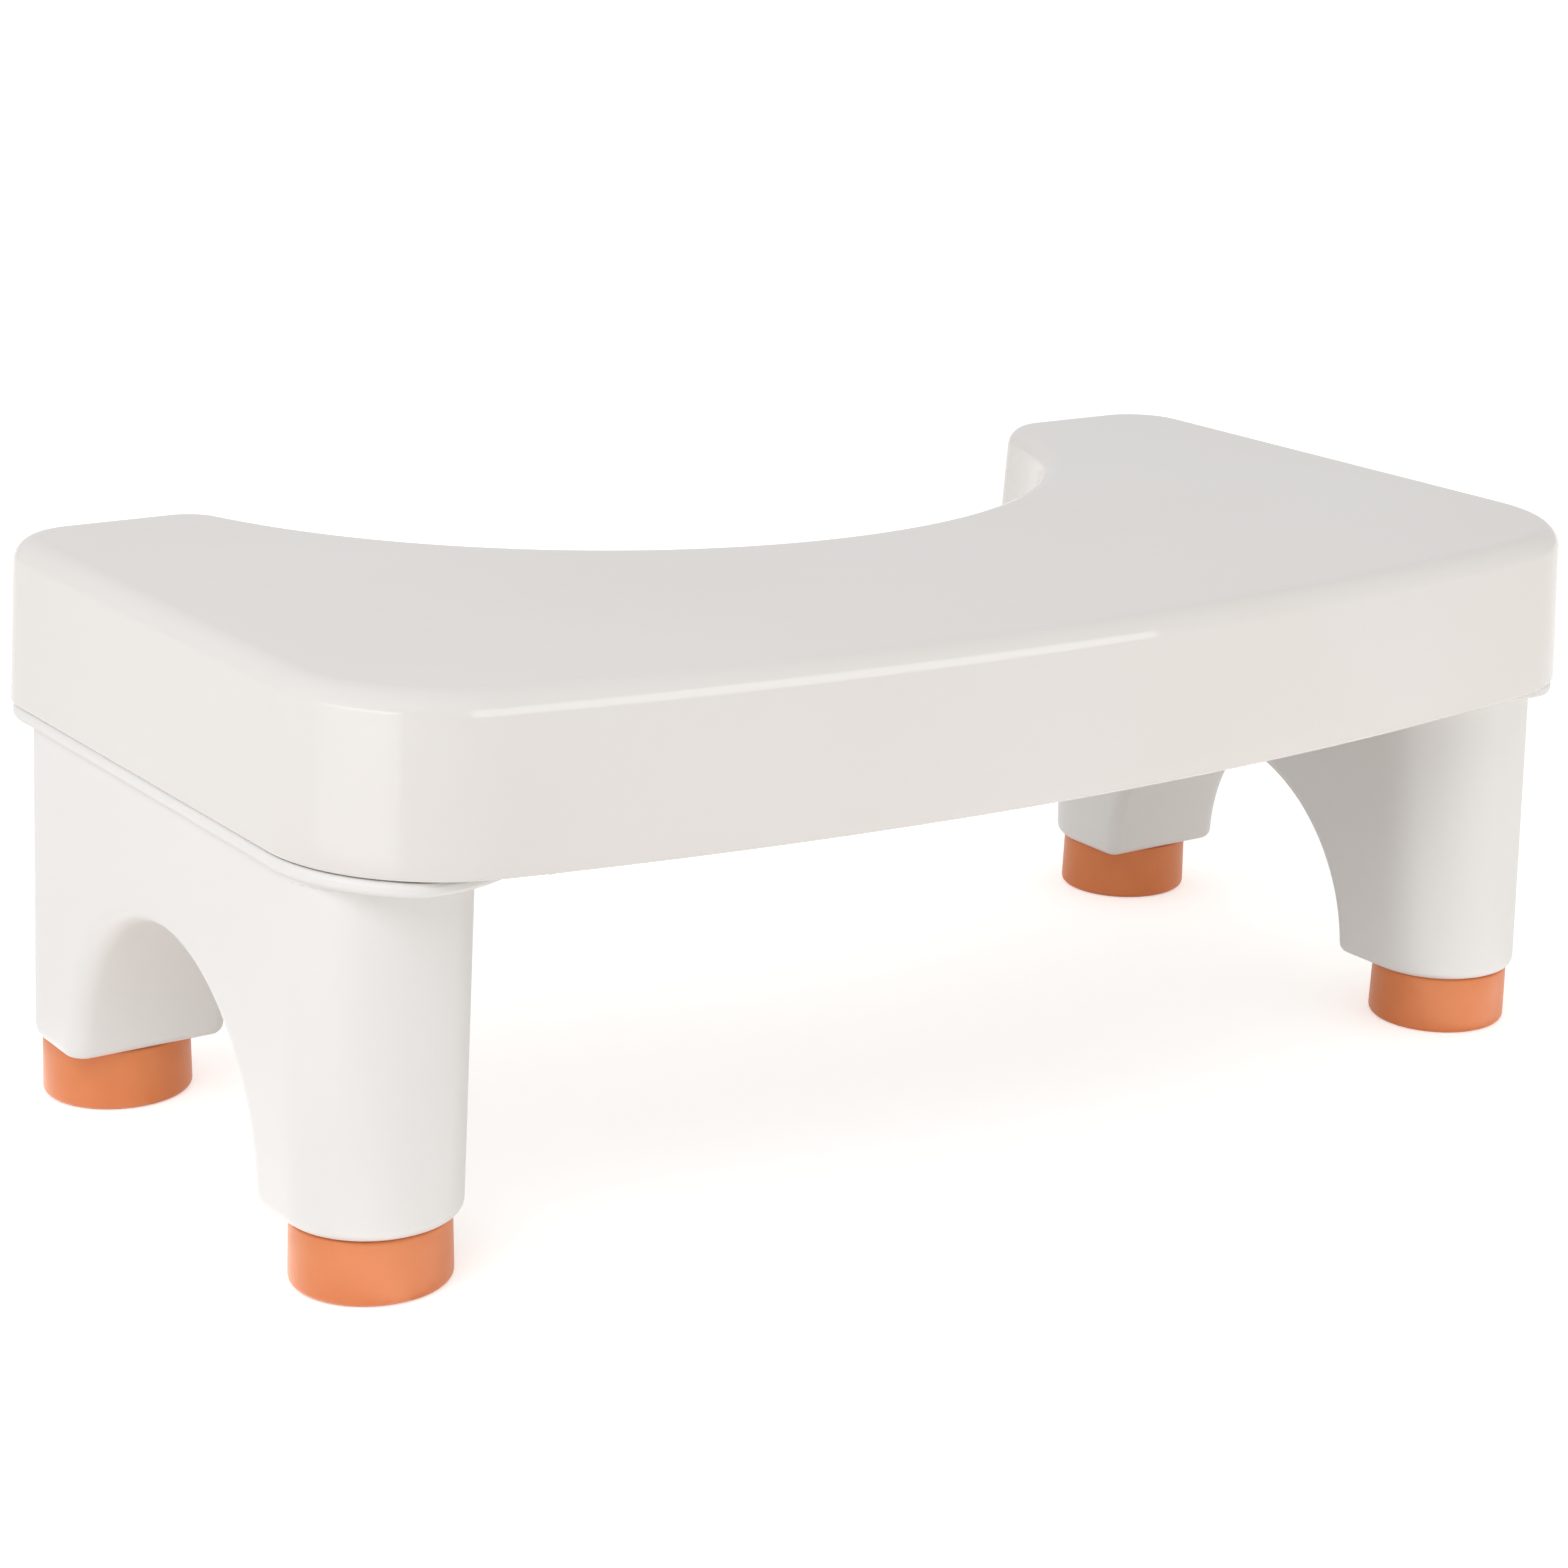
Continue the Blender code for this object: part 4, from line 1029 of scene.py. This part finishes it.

# %% [markdown]
# ## Which pieces stand for which solids
#
# Every imported solid is hidden, and a smooth piece made above stands for it.

# %% Replace the solids
for piece in (deck_skin, deck_ribs, *socket_walls):
    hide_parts("deck_shell")
for node, *parts in zip(("left_leg_frame", "right_leg_frame"), leg_skins, lips, plugs, catches):
    for piece in parts:
        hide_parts(node)
for node, piece in feet.items():
    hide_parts(node)
meshes = [piece.data for _, pieces in dressed.values() for piece in pieces]
print("Triangles before the bevels:", sum(len(mesh.loops) - 2 * len(mesh.polygons) for mesh in meshes))

# %% [markdown]
# ## Floor and light
#
# The floor is pale and reaches past the picture's edges. The light is soft, a little cool, and comes
# mainly from the upper left, with two low fills at the front and the right. Only the wide lamp on the
# left shows in reflections. Cards that only reflections see draw the rest: the long line on the front
# edge, the bright band at the left corner and the veil low on the feet. The edge card stands close to
# the deck, since a large one far off would be mirrored in the tread as well. More lamps could whiten
# the background, but they would wash out the plastic, so the floor glows only where the camera or a
# reflection looks straight at it, and the sky is a plain light grey there.

# %% Floor and light
FLOOR_SIZE = 30.0
FLOOR_COLOUR = (0.93, 0.905, 0.875, 1)
FLOOR_GLOW = 0.50
SKY_SEEN = 0.80
SKY_LIGHT = 0.65
COOL_LIGHT = (0.97, 1.00, 1.06)


def seen_directly(tree):
    """One where the camera, a reflection or glass looks straight at the surface, and nothing elsewhere."""
    path = add(tree, "ShaderNodeLightPath").outputs
    seen = path["Is Camera Ray"]
    for ray in ("Is Glossy Ray", "Is Transmission Ray"):
        either = add(tree, "ShaderNodeMath", operation="MAXIMUM")
        feed(tree, either.inputs[0], seen)
        feed(tree, either.inputs[1], path[ray])
        seen = either.outputs["Value"]
    return seen


def floor_material():
    """A pale matt floor. It glows a little where it is looked at, so it reads white but keeps its shadow."""
    material, tree = blank_material("pale_floor")
    matt = add(tree, "ShaderNodeBsdfDiffuse", {"Color": FLOOR_COLOUR})
    glow = add(tree, "ShaderNodeEmission", {"Strength": vary(tree, seen_directly(tree), 0.0, FLOOR_GLOW)})
    both = add(tree, "ShaderNodeAddShader")
    feed(tree, both.inputs[0], matt.outputs["BSDF"])
    feed(tree, both.inputs[1], glow.outputs["Emission"])
    add(tree, "ShaderNodeOutputMaterial", {"Surface": both.outputs["Shader"]})
    return material


floor_reach = FLOOR_SIZE / 2
floor_corners = [(x * floor_reach, y * floor_reach, 0) for x, y in ((-1, -1), (1, -1), (1, 1), (-1, 1))]
floor_mesh = bpy.data.meshes.new("floor")
floor_mesh.from_pydata(floor_corners, [], [(0, 1, 2, 3)])
floor_mesh.materials.append(floor_material())
floor = bpy.data.objects.new("floor", floor_mesh)
bpy.context.scene.collection.objects.link(floor)
floor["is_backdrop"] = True

world = bpy.data.worlds.new("studio")
bpy.context.scene.world = world
world.use_nodes = True
sky = world.node_tree
sky.nodes.clear()
even = add(sky, "ShaderNodeBackground", {
    "Color": (1, 1, 1, 1), "Strength": vary(sky, seen_directly(sky), SKY_LIGHT, SKY_SEEN)})
add(sky, "ShaderNodeOutputWorld", {"Surface": even.outputs["Background"]})


def softbox(name, place, target, width, height, radiance, colour=(1, 1, 1)):
    """A rectangular lamp that looks at a target. Its power is radiance times area times pi."""
    lamp = bpy.data.lights.new(name, "AREA")
    lamp.shape = "RECTANGLE"
    lamp.size, lamp.size_y = width, height
    lamp.energy = radiance * width * height * math.pi
    lamp.color = colour
    box = bpy.data.objects.new(name, lamp)
    box.location = place
    aim = Vector(target) - Vector(place)
    box.rotation_euler = aim.to_track_quat("-Z", "Y").to_euler()
    box.visible_camera = False
    bpy.context.scene.collection.objects.link(box)
    return box


def hidden_light(name, place, target, width, height, radiance, colour=(1, 1, 1)):
    """A softbox that reflections don't show, so that only the cards draw highlights."""
    softbox(name, place, target, width, height, radiance, colour).visible_glossy = False


def reflection_card(name, place, target, width, height, radiance, spread=180):
    """A softbox that only glossy reflections see: it draws a highlight and adds no other light."""
    card = softbox(name, place, target, width, height, radiance)
    card.data.spread = math.radians(spread)
    card.visible_diffuse = False


# %% Lamps
softbox("left_wall", place=(-0.60, 0.02, 0.21), target=(0.0, 0.02, 0.21),
        width=0.70, height=0.40, radiance=0.23, colour=COOL_LIGHT)
hidden_light("key_high", place=(-0.85, -0.62, 0.95), target=(-0.15, -0.05, 0.14),
             width=0.80, height=0.60, radiance=2.30, colour=COOL_LIGHT)
hidden_light("high_left", place=(-1.05, 0.10, 1.05), target=(-0.10, 0.0, 0.14),
             width=0.90, height=0.50, radiance=1.05, colour=COOL_LIGHT)
hidden_light("right_low", place=(0.62, -0.62, 0.16), target=(0.30, -0.10, 0.10),
             width=0.50, height=0.28, radiance=0.35)
hidden_light("front_low", place=(0.24, -0.44, 0.055), target=(0.24, 0.0, 0.055),
             width=0.64, height=0.09, radiance=1.60)

# %% Reflection cards
reflection_card("corner_card", place=(-0.552, -0.113, 0.105), target=(0.354, 0.310, 0.105),
                width=0.40, height=0.20, radiance=0.55, spread=110)
reflection_card("corner_line", place=(-0.552, -0.113, 0.200), target=(0.354, 0.310, 0.200),
                width=0.40, height=0.10, radiance=1.60, spread=110)
reflection_card("edge_card", place=(-0.0769, -0.1278, 0.1613), target=(-0.0679, -0.0182, 0.1613),
                width=0.220, height=0.0117, radiance=2.80)
reflection_card("front_floor_card", place=(0.0, -0.118, 0.0005), target=(0.0, -0.118, 1.0),
                width=0.50, height=0.065, radiance=1.6)
reflection_card("left_floor_card", place=(-0.225, 0.0, 0.0005), target=(-0.225, 0.0, 1.0),
                width=0.07, height=0.26, radiance=1.1)

bpy.context.scene.view_settings.view_transform = "Standard"
print("Lights:", [lamp.name for lamp in bpy.data.lights])

# %% [markdown]
# ## Check the size and finish
#
# The smooth pieces must fill the same box as the solids. Both boxes are measured, and the script prints how
# far they differ.

# %% Finish
visual_box = [list(corner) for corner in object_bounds()]
growth = np.abs(np.subtract(cad_box, visual_box)).max() * 1000
print("The two boxes differ by at most", round(float(growth), 3), "mm")
